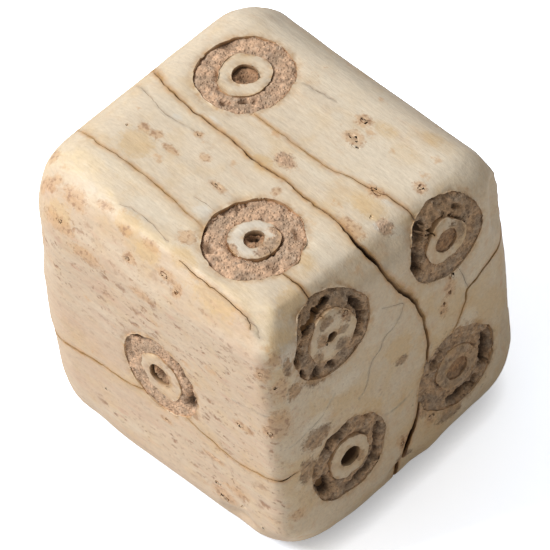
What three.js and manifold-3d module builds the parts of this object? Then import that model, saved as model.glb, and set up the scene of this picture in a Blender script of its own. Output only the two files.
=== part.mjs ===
// Old gaming die, sawn from a long bone, with ring-and-dot pips.
// Millimetres, +Z up. The grain of the bone runs along X.
// The origin is under the middle of the face that the die lies on.

import * as THREE from 'three';
import { ConvexGeometry } from 'three/addons/geometries/ConvexGeometry.js';
import { mergeVertices } from 'three/addons/utils/BufferGeometryUtils.js';
import Module from 'manifold-3d';

const wasm = await Module();
wasm.setup();

// Driving dimensions of the block, measured between the middles of its faces
const LENGTH = 16.5;
const WIDTH = 15.7;
const HEIGHT = 16.2;
const BLOCK = [LENGTH, WIDTH, HEIGHT];

// From the front face to the line that the pips are set out from
const FRONT_TO_AXIS = 0.4936 * WIDTH;

// How far each hand-cut face runs out of square, in degrees
const TOP_FALL_ALONG_X = 1.25;
const TOP_FALL_ALONG_Y = 0.6;
const FRONT_TURN = 2.2;
const FRONT_LEAN = 1.8;
const BACK_TURN = 0.5;
const BACK_LEAN = 2.6;

// How round handling has worn each corner
const WEAR = {
  top_left_front: 3.5,
  top_left_back: 2.75,
  top_right_front: 2.6,
  top_right_back: 1.9,
  bottom_left_front: 3.2,
  bottom_left_back: 3.0,
  bottom_right_front: 2.8,
  bottom_right_back: 3.6,
};
const CORNER_STEPS = 4;

// Three edges are sharper than the corners they join. Each has a rounding of its own, and the centre of
// that rounding lies at one depth under the first of its two faces and at another under the second.
const SIDE_RIDGE_RADIUS = 0.85;
const SIDE_RIDGE_DEPTH = 0.85;
const END_RIDGE_RADIUS = 0.5;
const END_RIDGE_DEPTH = 0.65;
const FRONT_RIDGE_RADIUS = 0.6;
const FRONT_RIDGE_DEPTH = 0.75;
const RIDGE_SET_BACK = 1.45;

// The two faces and the two depths, the radius, the axis that the ridge runs along, and where it ends,
// as shares of the block's size
const RIDGES = [
  {
    between: ['front', 'right'],
    depths: [SIDE_RIDGE_DEPTH, SIDE_RIDGE_DEPTH],
    radius: SIDE_RIDGE_RADIUS,
    along: 2,
    ends: [0.2, 0.88],
  },
  {
    between: ['top', 'right'],
    depths: [END_RIDGE_DEPTH, RIDGE_SET_BACK],
    radius: END_RIDGE_RADIUS,
    along: 1,
    ends: [-0.34, 0.32],
  },
  {
    between: ['top', 'front'],
    depths: [FRONT_RIDGE_DEPTH, RIDGE_SET_BACK],
    radius: FRONT_RIDGE_RADIUS,
    along: 0,
    ends: [-0.08, 0.34],
  },
];

// The flake that has split off the upper back face, down to a crack
const FLAKE_DEPTH = 0.36;
const FLAKE_LEAN = 4.6;
const FLAKE_LEDGE = 0.7932 * HEIGHT;
const FLAKE_LEDGE_FALL = 4.5;

// Ring-and-dot pip, cut with a centre bit whose side teeth leave a boss. The six takes three rings
// along the block, so the radius of the ring goes with the length.
const RING_RADIUS = 0.1376 * LENGTH;
const BOSS_RADIUS = 0.55 * RING_RADIUS;
const GROOVE_DEPTH = 0.6;
const GROOVE_FLARE = 0.12;
const BIT_REACH = 1.9;
const DOT_RADIUS = 0.273 * RING_RADIUS;
const DOT_DEPTH = 1.15;
const DOT_POINT = 0.3;
const DOT_TAPER = 0.1;
const RING_SIDES = 20;
const DOT_SIDES = 12;

// Soil packed into the pips
const SOIL_CLEARANCE = 0.04;
const RING_SOIL_RECESS = 0.14;
const DOT_SOIL_RECESS = 0.5;
const TOOL_OVERSHOOT = 2;

// Facets that lie this close together are merged
const FINENESS = 0.006;
const SAME_POINT = 1e-5;

// Places of the pips, as shares of the two sizes of the block across each face. They were set out by eye.
const PIPS = [
  { name: 'one_a', face: 'front', at: [0.0576, 0.534] },
  { name: 'two_a', face: 'top', at: [-0.2212, 0.1783] },
  { name: 'two_b', face: 'top', at: [0.2212, -0.2166] },
  { name: 'three_a', face: 'left', at: [-0.2675, 0.7593] },
  { name: 'three_b', face: 'left', at: [0.0064, 0.5] },
  { name: 'three_c', face: 'left', at: [0.2675, 0.2469] },
  { name: 'four_a', face: 'right', at: [-0.2197, 0.8241] },
  { name: 'four_b', face: 'right', at: [0.2153, 0.8451] },
  { name: 'four_c', face: 'right', at: [0.1911, 0.3457] },
  { name: 'four_d', face: 'right', at: [-0.2261, 0.3302] },
  { name: 'five_a', face: 'bottom', at: [-0.2606, -0.293] },
  { name: 'five_b', face: 'bottom', at: [0.2606, -0.3089] },
  { name: 'five_c', face: 'bottom', at: [0.0091, 0.0064] },
  { name: 'five_d', face: 'bottom', at: [-0.2667, 0.293] },
  { name: 'five_e', face: 'bottom', at: [0.2606, 0.2866] },
  { name: 'six_a', face: 'back', at: [-0.3, 0.7346] },
  { name: 'six_b', face: 'back', at: [0.0061, 0.7438] },
  { name: 'six_c', face: 'back', at: [0.3, 0.7284] },
  { name: 'six_d', face: 'back', at: [-0.3, 0.2747] },
  { name: 'six_e', face: 'back', at: [0, 0.2809] },
  { name: 'six_f', face: 'back', at: [0.3, 0.2685] },
];

const lean = (degrees) => Math.tan(THREE.MathUtils.degToRad(degrees));
const ledgeShare = (x) => (FLAKE_LEDGE - lean(FLAKE_LEDGE_FALL) * x * LENGTH) / HEIGHT;

// Open cracks: the way into the bone, the widest opening, the depth, and the points on the surface as
// shares of the length, width and height. The last row is how far the crack is open at each point.
const CRACKS = [
  {
    name: 'main crack over the top and down the right end',
    into: [-0.55, 0, -0.85],
    width: 0.34,
    depth: 2.2,
    points: [
      [-0.503, 0.021, 0.9444], [-0.4303, 0.021, 1.0062], [-0.2727, -0.0038, 1.0093], [-0.1212, -0.0121, 1.0049],
      [0.0182, -0.0185, 1.0025], [0.1394, -0.0159, 1], [0.2545, -0.021, 0.9969], [0.3697, -0.0121, 0.9907],
      [0.4485, -0.0096, 0.9722], [0.4909, 0, 0.8889], [0.503, 0.0166, 0.821], [0.503, 0.0605, 0.7407],
      [0.503, 0.0847, 0.6728], [0.503, 0.0968, 0.5648], [0.503, 0.0879, 0.4691], [0.503, 0.0541, 0.3704],
      [0.503, 0.0217, 0.2654], [0.497, -0.0318, 0.1605], [0.4788, -0.0573, 0.0741],
    ],
    open: [0.5, 0.35, 0.3, 0.35, 0.4, 0.4, 0.5, 0.9, 1, 1, 1, 0.9, 0.6, 0.5, 0.45, 0.45, 0.6, 0.9, 1],
  },
  {
    name: 'crack along the top from the left end to a pip',
    into: [0, 0, -1],
    width: 0.18,
    depth: 1.3,
    points: [
      [-0.503, -0.242, 0.9136], [-0.4364, -0.2465, 1], [-0.3152, -0.2548, 1.0123], [-0.2, -0.2669, 1.0099],
      [-0.0424, -0.2707, 1.0049], [0.0848, -0.2777, 1],
    ],
    open: [0.8, 0.9, 1, 0.9, 0.7, 0.3],
  },
  {
    name: 'crack from the second pip over the edge into the four',
    into: [-0.7, 0, -0.7],
    width: 0.16,
    depth: 1.3,
    points: [
      [0.2212, -0.2191, 1], [0.2806, -0.2191, 0.9969], [0.3424, -0.2299, 0.9938], [0.4061, -0.2115, 0.9846],
      [0.4545, -0.2172, 0.9444], [0.4909, -0.2229, 0.9012],
    ],
    open: [0.4, 0.7, 0.9, 1, 1, 0.6],
  },
  {
    name: 'crack beside the ridge above the four',
    into: [-0.4, 0, -0.9],
    width: 0.16,
    depth: 1.3,
    points: [
      [-0.0848, 0.0949, 1.0037], [0.0515, 0.0936, 1.0012], [0.1879, 0.0962, 0.9975], [0.2727, 0.1185, 0.9951],
      [0.3697, 0.1376, 0.9914], [0.4303, 0.1459, 0.9784], [0.4788, 0.1624, 0.9383], [0.503, 0.1847, 0.8889],
    ],
    open: [0.3, 0.4, 0.4, 0.6, 0.9, 1, 1, 0.7],
  },
  {
    name: 'crack along the front face, through its pip and round to the right end',
    into: [-0.15, 0.98, 0],
    width: 0.17,
    depth: 1.4,
    points: [
      [-0.4848, -0.4586, 0.3858], [-0.4242, -0.5127, 0.3889], [-0.3152, -0.5096, 0.392],
      [-0.2182, -0.5064, 0.3975], [-0.1273, -0.5032, 0.4012], [-0.0303, -0.4987, 0.4093],
      [0.0242, -0.4968, 0.4259], [0.1212, -0.4924, 0.413], [0.2727, -0.4873, 0.3895],
      [0.3455, -0.4828, 0.384], [0.4303, -0.4586, 0.3642], [0.4848, -0.4013, 0.3549],
    ],
    open: [1, 0.9, 0.8, 0.8, 0.7, 0.8, 0.9, 0.5, 0.8, 0.9, 1, 0.7],
  },
  {
    name: 'short crack under the top edge of the front face',
    into: [0, 0.8, -0.6],
    width: 0.15,
    depth: 0.9,
    points: [
      [0.097, -0.4045, 0.9722], [0.1758, -0.4204, 0.9568], [0.2667, -0.4204, 0.9475], [0.3455, -0.4108, 0.9383],
      [0.3818, -0.4204, 0.8951],
    ],
    open: [0.5, 1, 1, 0.8, 0.5],
  },
  {
    name: 'crack on the right end, up to the ledge of the back face',
    into: [-0.98, -0.15, -0.1],
    width: 0.18,
    depth: 1.4,
    points: [
      [0.4485, 0.4777, 0.7531], [0.5, 0.4076, 0.679], [0.503, 0.3185, 0.6296], [0.503, 0.2675, 0.6111],
      [0.503, 0.2471, 0.5617], [0.503, 0.1994, 0.4914],
    ],
    open: [0.9, 1, 0.9, 0.8, 0.7, 0.4],
  },
  {
    name: 'crack along the back face, in the corner of the ledge',
    into: [0, -1, -0.1],
    width: 0.2,
    depth: 1.3,
    points: [0.448, 0.339, 0.158, -0.036, -0.218, -0.376, -0.473].map((x) => [x, 0.484, ledgeShare(x)]),
    open: [0.9, 0.9, 0.8, 0.6, 0.6, 0.8, 0.9],
  },
  {
    name: 'crack along the bottom face',
    into: [0, 0, 1],
    width: 0.16,
    depth: 1.2,
    points: [
      [0.4788, -0.0573, 0.037], [0.4242, -0.051, 0], [0.2424, -0.0382, 0], [0.1455, -0.0318, 0],
    ],
    open: [1, 0.9, 0.6, 0.4],
  },
  {
    name: 'crack down the left end',
    into: [1, 0, 0],
    width: 0.18,
    depth: 1.2,
    points: [
      [-0.4848, 0.0191, 0.9444], [-0.503, 0.0255, 0.8765], [-0.503, 0.0573, 0.7407], [-0.503, 0.1019, 0.6049],
      [-0.503, 0.121, 0.4691], [-0.503, 0.0955, 0.321],
    ],
    open: [0.8, 1, 0.9, 0.7, 0.5, 0.3],
  },
];
const CRACK_LIFT = 0.45;
const CRACK_TIP = 0.03;
const CRACK_LEAST_DEPTH = 0.45;

const BONE = new THREE.Color(0.86, 0.77, 0.64);
const SOIL = new THREE.Color(0.47, 0.37, 0.3);
const DOT_SOIL = new THREE.Color(0.36, 0.27, 0.2);
const BONE_ROUGHNESS = 0.55;
const SOIL_ROUGHNESS = 0.95;

// Turns a closed three.js geometry into a solid that can be cut and joined
function toSolid(geometry) {
  const bare = geometry.index ? geometry.toNonIndexed() : geometry.clone();
  bare.deleteAttribute('normal');
  bare.deleteAttribute('uv');
  const merged = mergeVertices(bare, SAME_POINT);
  return new wasm.Manifold(new wasm.Mesh({
    numProp: 3,
    vertProperties: new Float32Array(merged.attributes.position.array),
    triVerts: new Uint32Array(merged.index.array),
  }));
}

function toGeometry(solid) {
  const mesh = solid.getMesh();
  const geometry = new THREE.BufferGeometry();
  geometry.setAttribute('position', new THREE.BufferAttribute(new Float32Array(mesh.vertProperties), 3));
  geometry.setIndex(new THREE.BufferAttribute(new Uint32Array(mesh.triVerts), 1));
  geometry.computeVertexNormals();
  return geometry;
}

// The six faces of the block as planes
function facePlanes() {
  const plane = (normal, point) => {
    const unit = new THREE.Vector3(...normal).normalize();
    return { normal: unit, reach: unit.dot(new THREE.Vector3(...point)) };
  };
  return {
    top: plane([lean(TOP_FALL_ALONG_X), lean(TOP_FALL_ALONG_Y), 1], [0, 0, HEIGHT]),
    bottom: plane([0, 0, -1], [0, 0, 0]),
    left: plane([-1, 0, 0], [-LENGTH / 2, 0, HEIGHT / 2]),
    right: plane([1, 0, 0], [LENGTH / 2, 0, HEIGHT / 2]),
    front: plane([lean(FRONT_TURN), -1, lean(FRONT_LEAN)], [0, -FRONT_TO_AXIS, HEIGHT / 2]),
    back: plane([lean(BACK_TURN), 1, lean(BACK_LEAN)], [0, WIDTH - FRONT_TO_AXIS, HEIGHT / 2]),
  };
}

// The point that lies the given distances inside three planes
function insideCorner(planes, depths) {
  const rows = planes.map((plane) => plane.normal.toArray());
  const matrix = new THREE.Matrix3().set(...rows.flat()).invert();
  const reaches = planes.map((plane, k) => plane.reach - depths[k]);
  return new THREE.Vector3(...reaches).applyMatrix3(matrix);
}

// Points on the arc of a ridge at both of its ends
function ridgePoints(ridge, inset) {
  const [first, second] = ridge.between.map((side) => facePlanes()[side]);
  const across = new THREE.Vector3().setComponent(ridge.along, 1);
  const points = [];
  for (const end of ridge.ends) {
    const stop = { normal: across, reach: end * BLOCK[ridge.along] };
    const centre = insideCorner([first, second, stop], [...ridge.depths, 0]);
    for (let i = 0; i <= CORNER_STEPS; i += 1) {
      const direction = first.normal.clone().lerp(second.normal, i / CORNER_STEPS);
      points.push(direction.setLength(ridge.radius - inset).add(centre));
    }
  }
  return points;
}

// The block with worn corners and edges. Every corner is a ball that touches its three faces, and the
// block is what is stretched over the eight balls and the ridges, so its faces stay flat. With an inset
// they shrink round the same centres, which gives the same block at a constant depth under the surface.
function wornBlock(inset) {
  const planes = facePlanes();
  const points = [];
  for (const ridge of RIDGES.filter((one) => one.radius > inset)) {
    points.push(...ridgePoints(ridge, inset));
  }
  for (const [corner, wear] of Object.entries(WEAR)) {
    const three = corner.split('_').map((side) => planes[side]);
    const centre = insideCorner(three, [wear, wear, wear]);
    for (let i = 0; i <= CORNER_STEPS; i += 1) {
      for (let j = 0; j <= CORNER_STEPS - i; j += 1) {
        const share = [i, j, CORNER_STEPS - i - j];
        const direction = new THREE.Vector3();
        three.forEach((plane, k) => direction.addScaledVector(plane.normal, share[k]));
        points.push(direction.setLength(wear - inset).add(centre));
      }
    }
  }
  return toSolid(new ConvexGeometry(points));
}

// The room that the lost flake leaves: a leaning wall above a ledge that falls towards the right end
function flakeRoom(inset) {
  const size = LENGTH + WIDTH + HEIGHT;
  const room = new THREE.BoxGeometry(size, size, size);
  room.translate(0, size / 2, size / 2);
  room.rotateX(THREE.MathUtils.degToRad(FLAKE_LEAN));
  room.rotateY(THREE.MathUtils.degToRad(FLAKE_LEDGE_FALL));
  const wall = WIDTH - FRONT_TO_AXIS - lean(BACK_LEAN) * (FLAKE_LEDGE - HEIGHT / 2) - FLAKE_DEPTH;
  room.translate(0, wall - inset, FLAKE_LEDGE - inset);
  return toSolid(room);
}

// The bone at a constant depth under its surface
function boneAtDepth(inset) {
  return wornBlock(inset).subtract(flakeRoom(inset));
}

// Puts a tool that stands on the XY plane, pointing up, at a pip
function pipFrame(pip) {
  const { normal, reach } = facePlanes()[pip.face];
  const fixed = { top: 2, bottom: 2, left: 0, right: 0, front: 1, back: 1 }[pip.face];
  const point = BLOCK.map((size, axis) => (axis === fixed ? 0 : size * pip.at[axis > fixed ? axis - 1 : axis]));
  const rest = reach - new THREE.Vector3(...point).dot(normal);
  point[fixed] = rest / normal.getComponent(fixed);
  const turn = new THREE.Quaternion().setFromUnitVectors(new THREE.Vector3(0, 0, 1), normal);
  return new THREE.Matrix4().compose(new THREE.Vector3(...point), turn, new THREE.Vector3(1, 1, 1));
}

// What the side teeth of the bit sweep: a ring with flared walls
function ringSweep(pip, clearance) {
  const inner = BOSS_RADIUS + clearance;
  const outer = RING_RADIUS - clearance;
  const flare = GROOVE_FLARE;
  const profile = [
    new THREE.Vector2(inner + flare, -BIT_REACH),
    new THREE.Vector2(outer - flare, -BIT_REACH),
    new THREE.Vector2(outer, 0),
    new THREE.Vector2(outer, TOOL_OVERSHOOT),
    new THREE.Vector2(inner, TOOL_OVERSHOOT),
    new THREE.Vector2(inner, 0),
    new THREE.Vector2(inner + flare, -BIT_REACH),
  ];
  const ring = new THREE.LatheGeometry(profile, RING_SIDES);
  ring.rotateX(Math.PI / 2);
  ring.applyMatrix4(pipFrame(pip));
  return toSolid(ring);
}

// What the point of the bit drills: a slightly tapered hole with a blunt cone at its end
function dotSweep(pip, clearance) {
  const radius = DOT_RADIUS - clearance;
  const depth = DOT_DEPTH - clearance;
  const profile = [
    new THREE.Vector2(0, -depth),
    new THREE.Vector2(radius - DOT_TAPER, -depth + DOT_POINT),
    new THREE.Vector2(radius, 0),
    new THREE.Vector2(radius, TOOL_OVERSHOOT),
    new THREE.Vector2(0, TOOL_OVERSHOOT),
  ];
  const hole = new THREE.LatheGeometry(profile, DOT_SIDES);
  hole.rotateX(Math.PI / 2);
  hole.applyMatrix4(pipFrame(pip));
  return toSolid(hole);
}

// A crack is a wedge lofted along its route: a flat mouth outside the bone and a narrow tip inside it
function crackWedge(crack) {
  const into = new THREE.Vector3(...crack.into).normalize();
  const size = new THREE.Vector3(...BLOCK);
  const points = crack.points.map((share) => new THREE.Vector3(...share).multiply(size));
  const last = points.length - 1;
  const position = [];
  points.forEach((point, k) => {
    const along = points[Math.min(k + 1, last)].clone().sub(points[Math.max(k - 1, 0)]);
    const side = along.cross(into).normalize();
    const half = crack.width * crack.open[k] / 2;
    const depth = crack.depth * THREE.MathUtils.lerp(CRACK_LEAST_DEPTH, 1, crack.open[k]);
    const mouth = half * (depth + CRACK_LIFT) / depth;
    const section = [[-mouth, -CRACK_LIFT], [mouth, -CRACK_LIFT], [CRACK_TIP, depth], [-CRACK_TIP, depth]];
    for (const [across, down] of section) {
      const corner = point.clone().addScaledVector(side, across).addScaledVector(into, down);
      position.push(...corner.toArray());
    }
  });
  const index = [];
  for (let k = 0; k < last; k += 1) {
    for (let edge = 0; edge < 4; edge += 1) {
      const a = 4 * k + edge;
      const b = 4 * k + (edge + 1) % 4;
      index.push(a, b + 4, b, a, a + 4, b + 4);
    }
  }
  index.push(0, 1, 2, 0, 2, 3);
  index.push(4 * last, 4 * last + 2, 4 * last + 1, 4 * last, 4 * last + 3, 4 * last + 2);
  const geometry = new THREE.BufferGeometry();
  geometry.setAttribute('position', new THREE.Float32BufferAttribute(position, 3));
  geometry.setIndex(index);
  return toSolid(geometry);
}

function dieBody() {
  let body = boneAtDepth(0);
  const core = boneAtDepth(GROOVE_DEPTH);
  for (const pip of PIPS) {
    body = body.subtract(ringSweep(pip, 0).subtract(core));
    body = body.subtract(dotSweep(pip, 0));
  }
  for (const crack of CRACKS) {
    body = body.subtract(crackWedge(crack));
  }
  return largestPiece(body);
}

// Crumbs that the cuts leave loose have long fallen away
function largestPiece(solid) {
  const pieces = solid.asOriginal().simplify(FINENESS).decompose();
  return pieces.reduce((most, piece) => (piece.volume() > most.volume() ? piece : most));
}

// The soil in a ring lies between its recess and the bottom of the groove, and follows the worn edges
function ringFill(pip, skin, core) {
  return largestPiece(ringSweep(pip, SOIL_CLEARANCE).intersect(skin).subtract(core));
}

function dotFill(pip, skin) {
  return largestPiece(dotSweep(pip, SOIL_CLEARANCE).intersect(skin));
}

function material(color, roughness) {
  return new THREE.MeshStandardMaterial({ color, roughness, metalness: 0 });
}

const die = new THREE.Group();

function addPiece(name, solid, finish) {
  const piece = new THREE.Mesh(toGeometry(solid), finish);
  piece.name = name;
  die.add(piece);
  return piece;
}

const body = addPiece('die_body', dieBody(), material(BONE, BONE_ROUGHNESS));
const soilSkin = boneAtDepth(RING_SOIL_RECESS);
const dotSkin = boneAtDepth(DOT_SOIL_RECESS);
const soilFloor = boneAtDepth(GROOVE_DEPTH - SOIL_CLEARANCE);
for (const pip of PIPS) {
  addPiece(`ring_fill_${pip.name}`, ringFill(pip, soilSkin, soilFloor), material(SOIL, SOIL_ROUGHNESS));
  addPiece(`dot_fill_${pip.name}`, dotFill(pip, dotSkin), material(DOT_SOIL, SOIL_ROUGHNESS));
}

// The origin goes under the middle of the die
body.geometry.computeBoundingBox();
const middle = body.geometry.boundingBox.getCenter(new THREE.Vector3());
die.position.set(-middle.x, -middle.y, -body.geometry.boundingBox.min.z);

export default die;
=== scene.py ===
# %% [markdown]
# # An old bone gaming die
# This lesson dresses the solid model of a gaming die. The die was sawn from a long bone and then lay
# in the ground: its corners are worn round, it has split along the grain, and fine soil still fills
# the ring-and-dot pips. First the imported solid model is loaded. It is the frame that every piece has
# to fit.

# %% Load the solid model
import math
import random

import bpy
from mathutils import Matrix, Vector, noise
from mathutils.bvhtree import BVHTree
from mathutils.kdtree import KDTree


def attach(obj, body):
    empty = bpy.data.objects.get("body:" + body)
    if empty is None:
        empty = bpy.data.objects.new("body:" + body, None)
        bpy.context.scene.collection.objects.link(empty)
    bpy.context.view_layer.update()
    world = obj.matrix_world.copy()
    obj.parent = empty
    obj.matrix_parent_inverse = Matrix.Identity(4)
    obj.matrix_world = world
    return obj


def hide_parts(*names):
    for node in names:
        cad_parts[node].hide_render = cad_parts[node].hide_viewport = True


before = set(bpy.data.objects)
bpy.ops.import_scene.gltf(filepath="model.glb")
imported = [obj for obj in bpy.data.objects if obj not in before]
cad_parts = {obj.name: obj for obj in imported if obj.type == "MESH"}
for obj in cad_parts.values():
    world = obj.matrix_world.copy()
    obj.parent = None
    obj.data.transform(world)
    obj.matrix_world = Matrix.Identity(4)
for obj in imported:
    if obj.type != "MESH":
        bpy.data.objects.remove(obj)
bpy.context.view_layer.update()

# %% [markdown]
# ## The bench
# Some of Blender's tools stop at a tenth of a thousandth of a unit, and grains of soil are about that
# small here. So every piece is shaped on a bench where one unit is a millimetre, and shrunk to metres
# when it is done. The operators act on whatever is selected, so a helper selects one object alone.

# %% Bench helpers
MM = 0.001
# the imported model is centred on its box, and that shifts the pips' axis by this much
MIDDLE_SHIFT = Vector((0.0, -0.063, 0.0))


def only(obj):
    if bpy.context.object and bpy.context.object.mode != "OBJECT":
        bpy.ops.object.mode_set(mode="OBJECT")
    bpy.ops.object.select_all(action="DESELECT")
    obj.select_set(True)
    bpy.context.view_layer.objects.active = obj
    return obj


def added(name):
    obj = bpy.context.object
    obj.name = name
    obj.data.name = name
    return only(obj)


def placed(obj, matrix):
    only(obj).matrix_world = matrix @ obj.matrix_world
    bpy.ops.object.transform_apply(location=True, rotation=True, scale=True)
    return obj


def finish_with(obj, kind, **settings):
    modifier = only(obj).modifiers.new(kind.lower(), kind)
    for key, value in settings.items():
        setattr(modifier, key, value)
    bpy.ops.object.modifier_apply(modifier=modifier.name)


def removed(obj):
    bpy.data.objects.remove(obj, do_unlink=True)


def cut(obj, tool):
    finish_with(obj, "BOOLEAN", object=tool, operation="DIFFERENCE", solver="MANIFOLD")
    removed(tool)
    return obj


def joined(pieces, name):
    only(pieces[0])
    for piece in pieces:
        piece.select_set(True)
    if len(pieces) > 1:
        bpy.ops.object.join()
    return added(name)


def to_metres(obj):
    return placed(obj, Matrix.Scale(MM, 4) @ Matrix.Translation(MIDDLE_SHIFT))


def triangles(obj):
    return sum(len(face.vertices) - 2 for face in obj.data.polygons)


def ramp(value, start, width):
    return max(0.0, min(1.0, (value - start) / width))


print("one unit on the bench is", MM, "m")

# %% [markdown]
# ## Camera
# The die is seen from above its front right corner through a long lens, so its edges stay nearly
# parallel. The camera is turned a little about its own axis, as it was held. It is set first, because
# everything afterwards is judged through it.

# %% Camera
CAMERA_AT = Vector((172.8, -124.9, 247.5))
CAMERA_RIGHT = Vector((0.6766, 0.72834, -0.10832))
CAMERA_DOWN = Vector((0.50174, -0.56369, -0.65614))
FOCAL_PIXELS = 7255.55
IMAGE_PIXELS = 550
SENSOR = 36.0

camera_data = bpy.data.cameras.new("camera")
camera_data.sensor_width = SENSOR
camera_data.lens = FOCAL_PIXELS / IMAGE_PIXELS * SENSOR
camera_data.clip_start = 0.01
camera_data.clip_end = 10
camera = bpy.data.objects.new("camera", camera_data)
bpy.context.collection.objects.link(camera)
turn = Matrix((CAMERA_RIGHT, -CAMERA_DOWN, CAMERA_RIGHT.cross(-CAMERA_DOWN))).transposed()
camera.matrix_world = Matrix.Translation((CAMERA_AT + MIDDLE_SHIFT) * MM) @ turn.to_4x4()
bpy.context.scene.camera = camera
print("lens", round(camera_data.lens, 1), "mm, distance", round(CAMERA_AT.length), "mm")

# %% [markdown]
# ## Light and floor
# A soft lamp stands high on the left of the picture, so the top and the front are bright and the
# right end lies in half shade. The white surroundings fill that shade.

# %% Lamps
KEY_FROM = Vector((-0.50, -0.50, 0.71))
KEY_DISTANCE = 0.90
KEY_SIZE = 0.48
KEY_STRENGTH = 1.07
FILL = (1.0, 0.99, 0.975, 1)
FILL_STRENGTH = 0.30


def soft_lamp(name, towards, distance, size, strength):
    data = bpy.data.lights.new(name, "AREA")
    data.shape = "DISK"
    data.size = size
    data.energy = strength * math.pi * math.pi * distance * distance
    lamp = bpy.data.objects.new(name, data)
    bpy.context.collection.objects.link(lamp)
    middle = Vector((0, 0, 8)) * MM
    lamp.location = middle + towards.normalized() * distance
    lamp.rotation_euler = towards.to_track_quat("Z", "Y").to_euler()
    return lamp


key = soft_lamp("key_lamp", KEY_FROM, KEY_DISTANCE, KEY_SIZE, KEY_STRENGTH)
world = bpy.data.worlds.new("studio")
world.use_nodes = True
world.node_tree.nodes["Background"].inputs["Color"].default_value = FILL
world.node_tree.nodes["Background"].inputs["Strength"].default_value = FILL_STRENGTH
bpy.context.scene.world = world
bpy.context.scene.view_settings.view_transform = "Standard"
print("key lamp", round(key.data.energy, 3), "W")

# %% [markdown]
# The floor is white to the camera but not to the light: a Light Path node tells the two apart. The
# light gets a plain pale floor that throws a little back at the die. The camera gets a brighter one
# that still takes the die's soft shadow, and an Ambient Occlusion node darkens it in the narrow gap
# under the worn edges. A small helper adds each node with its settings and its inputs in one call; an
# input takes a plain value or the socket that feeds it.

# %% Floor
FLOOR_SIZE = 3.0
FLOOR_LIT = (0.78, 0.77, 0.755, 1)
FLOOR_SEEN = (2.35, 2.56, 2.88, 1)
FLOOR_GLOW = 0.33
CONTACT = 0.0012
CONTACT_RAYS = 8


def node(tree, kind, inputs=None, **settings):
    made = tree.nodes.new("ShaderNode" + kind)
    for key, value in settings.items():
        setattr(made, key, value)
    for key, value in (inputs or {}).items():
        if isinstance(value, bpy.types.NodeSocket):
            tree.links.new(value, made.inputs[key])
        else:
            made.inputs[key].default_value = value
    return made


bpy.ops.object.select_all(action="DESELECT")
bpy.ops.mesh.primitive_plane_add(size=FLOOR_SIZE)
floor = added("floor")
paper = bpy.data.materials.new("white_paper")
paper.use_nodes = True
tree = paper.node_tree
tree.nodes.clear()
to_light = node(tree, "BsdfDiffuse", {"Color": FLOOR_LIT})
gap = node(tree, "AmbientOcclusion", {"Color": FLOOR_SEEN, "Distance": CONTACT}, samples=CONTACT_RAYS)
to_camera = node(tree, "BsdfDiffuse", {"Color": gap.outputs["Color"]})
glow = node(tree, "Emission", {"Strength": FLOOR_GLOW})
both = node(tree, "AddShader", {0: to_camera.outputs[0], 1: glow.outputs[0]})
seen = node(tree, "LightPath").outputs["Is Camera Ray"]
chosen = node(tree, "MixShader", {0: seen, 1: to_light.outputs[0], 2: both.outputs[0]})
node(tree, "OutputMaterial", {"Surface": chosen.outputs[0]})
floor.data.materials.append(paper)
print("floor", FLOOR_SIZE, "m across,", len(tree.nodes), "nodes in its material")

# %% [markdown]
# ## The worn block
# The die is six hand-cut planes, none quite square, with corners worn round by use. Blender could
# bevel a cube for that, but every corner has its own radius. So each corner is a ball that touches its
# three planes, and the block is the convex hull of the eight balls: the faces stay flat, and the edges
# run from one radius to the next. Made again with smaller balls round the same centres, it is the same
# block at an even depth under the surface, which is how deep the pips are cut later. Three edges are
# sharper than the corners that they join, so each gets two small balls of its own.

# %% Measures of the block
LENGTH, WIDTH, HEIGHT = 16.5, 15.7, 16.2
FRONT_TO_AXIS = 0.4936 * WIDTH
BACK_LEAN = 2.6
WEAR = {
    "top left front": 3.5, "top left back": 2.75, "top right front": 2.6, "top right back": 1.9,
    "bottom left front": 3.2, "bottom left back": 3.0, "bottom right front": 2.8,
    "bottom right back": 3.6,
}
# two faces, how deep the edge's rounding lies under each, its radius, the axis along it, and its ends
RIDGES = [
    ("front right", (0.85, 0.85), 0.85, 2, (0.2 * HEIGHT, 0.88 * HEIGHT)),
    ("top right", (0.65, 1.45), 0.5, 1, (-0.34 * WIDTH, 0.32 * WIDTH)),
    ("top front", (0.75, 1.45), 0.6, 0, (-0.08 * LENGTH, 0.34 * LENGTH)),
]


def slope(degrees):
    return math.tan(math.radians(degrees))


# a face is its normal, out of square by small angles in degrees, and a point on it
FACES = {
    "top": ((slope(1.25), slope(0.6), 1), (0, 0, HEIGHT)),
    "bottom": ((0, 0, -1), (0, 0, 0)),
    "left": ((-1, 0, 0), (-LENGTH / 2, 0, HEIGHT / 2)),
    "right": ((1, 0, 0), (LENGTH / 2, 0, HEIGHT / 2)),
    "front": ((slope(2.2), -1, slope(1.8)), (0, -FRONT_TO_AXIS, HEIGHT / 2)),
    "back": ((slope(0.5), 1, slope(BACK_LEAN)), (0, WIDTH - FRONT_TO_AXIS, HEIGHT / 2)),
}
FACES = {side: (Vector(n).normalized(), Vector(p)) for side, (n, p) in FACES.items()}
print("block", LENGTH, "x", WIDTH, "x", HEIGHT, "mm,", len(WEAR), "corners and", len(RIDGES), "sharp edges")

# %% Build the worn block


def corner_centre(sides, wear):
    rows = Matrix([FACES[side][0] for side in sides])
    reach = Vector([FACES[side][0].dot(FACES[side][1]) - wear for side in sides])
    return rows.inverted() @ reach


def ridge_centre(sides, depths, axis, end):
    across = Vector((0, 0, 0))
    across[axis] = 1
    rows = Matrix([FACES[side][0] for side in sides] + [across])
    reach = [FACES[side][0].dot(FACES[side][1]) - depth for side, depth in zip(sides, depths)]
    return rows.inverted() @ Vector(reach + [end])


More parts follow.
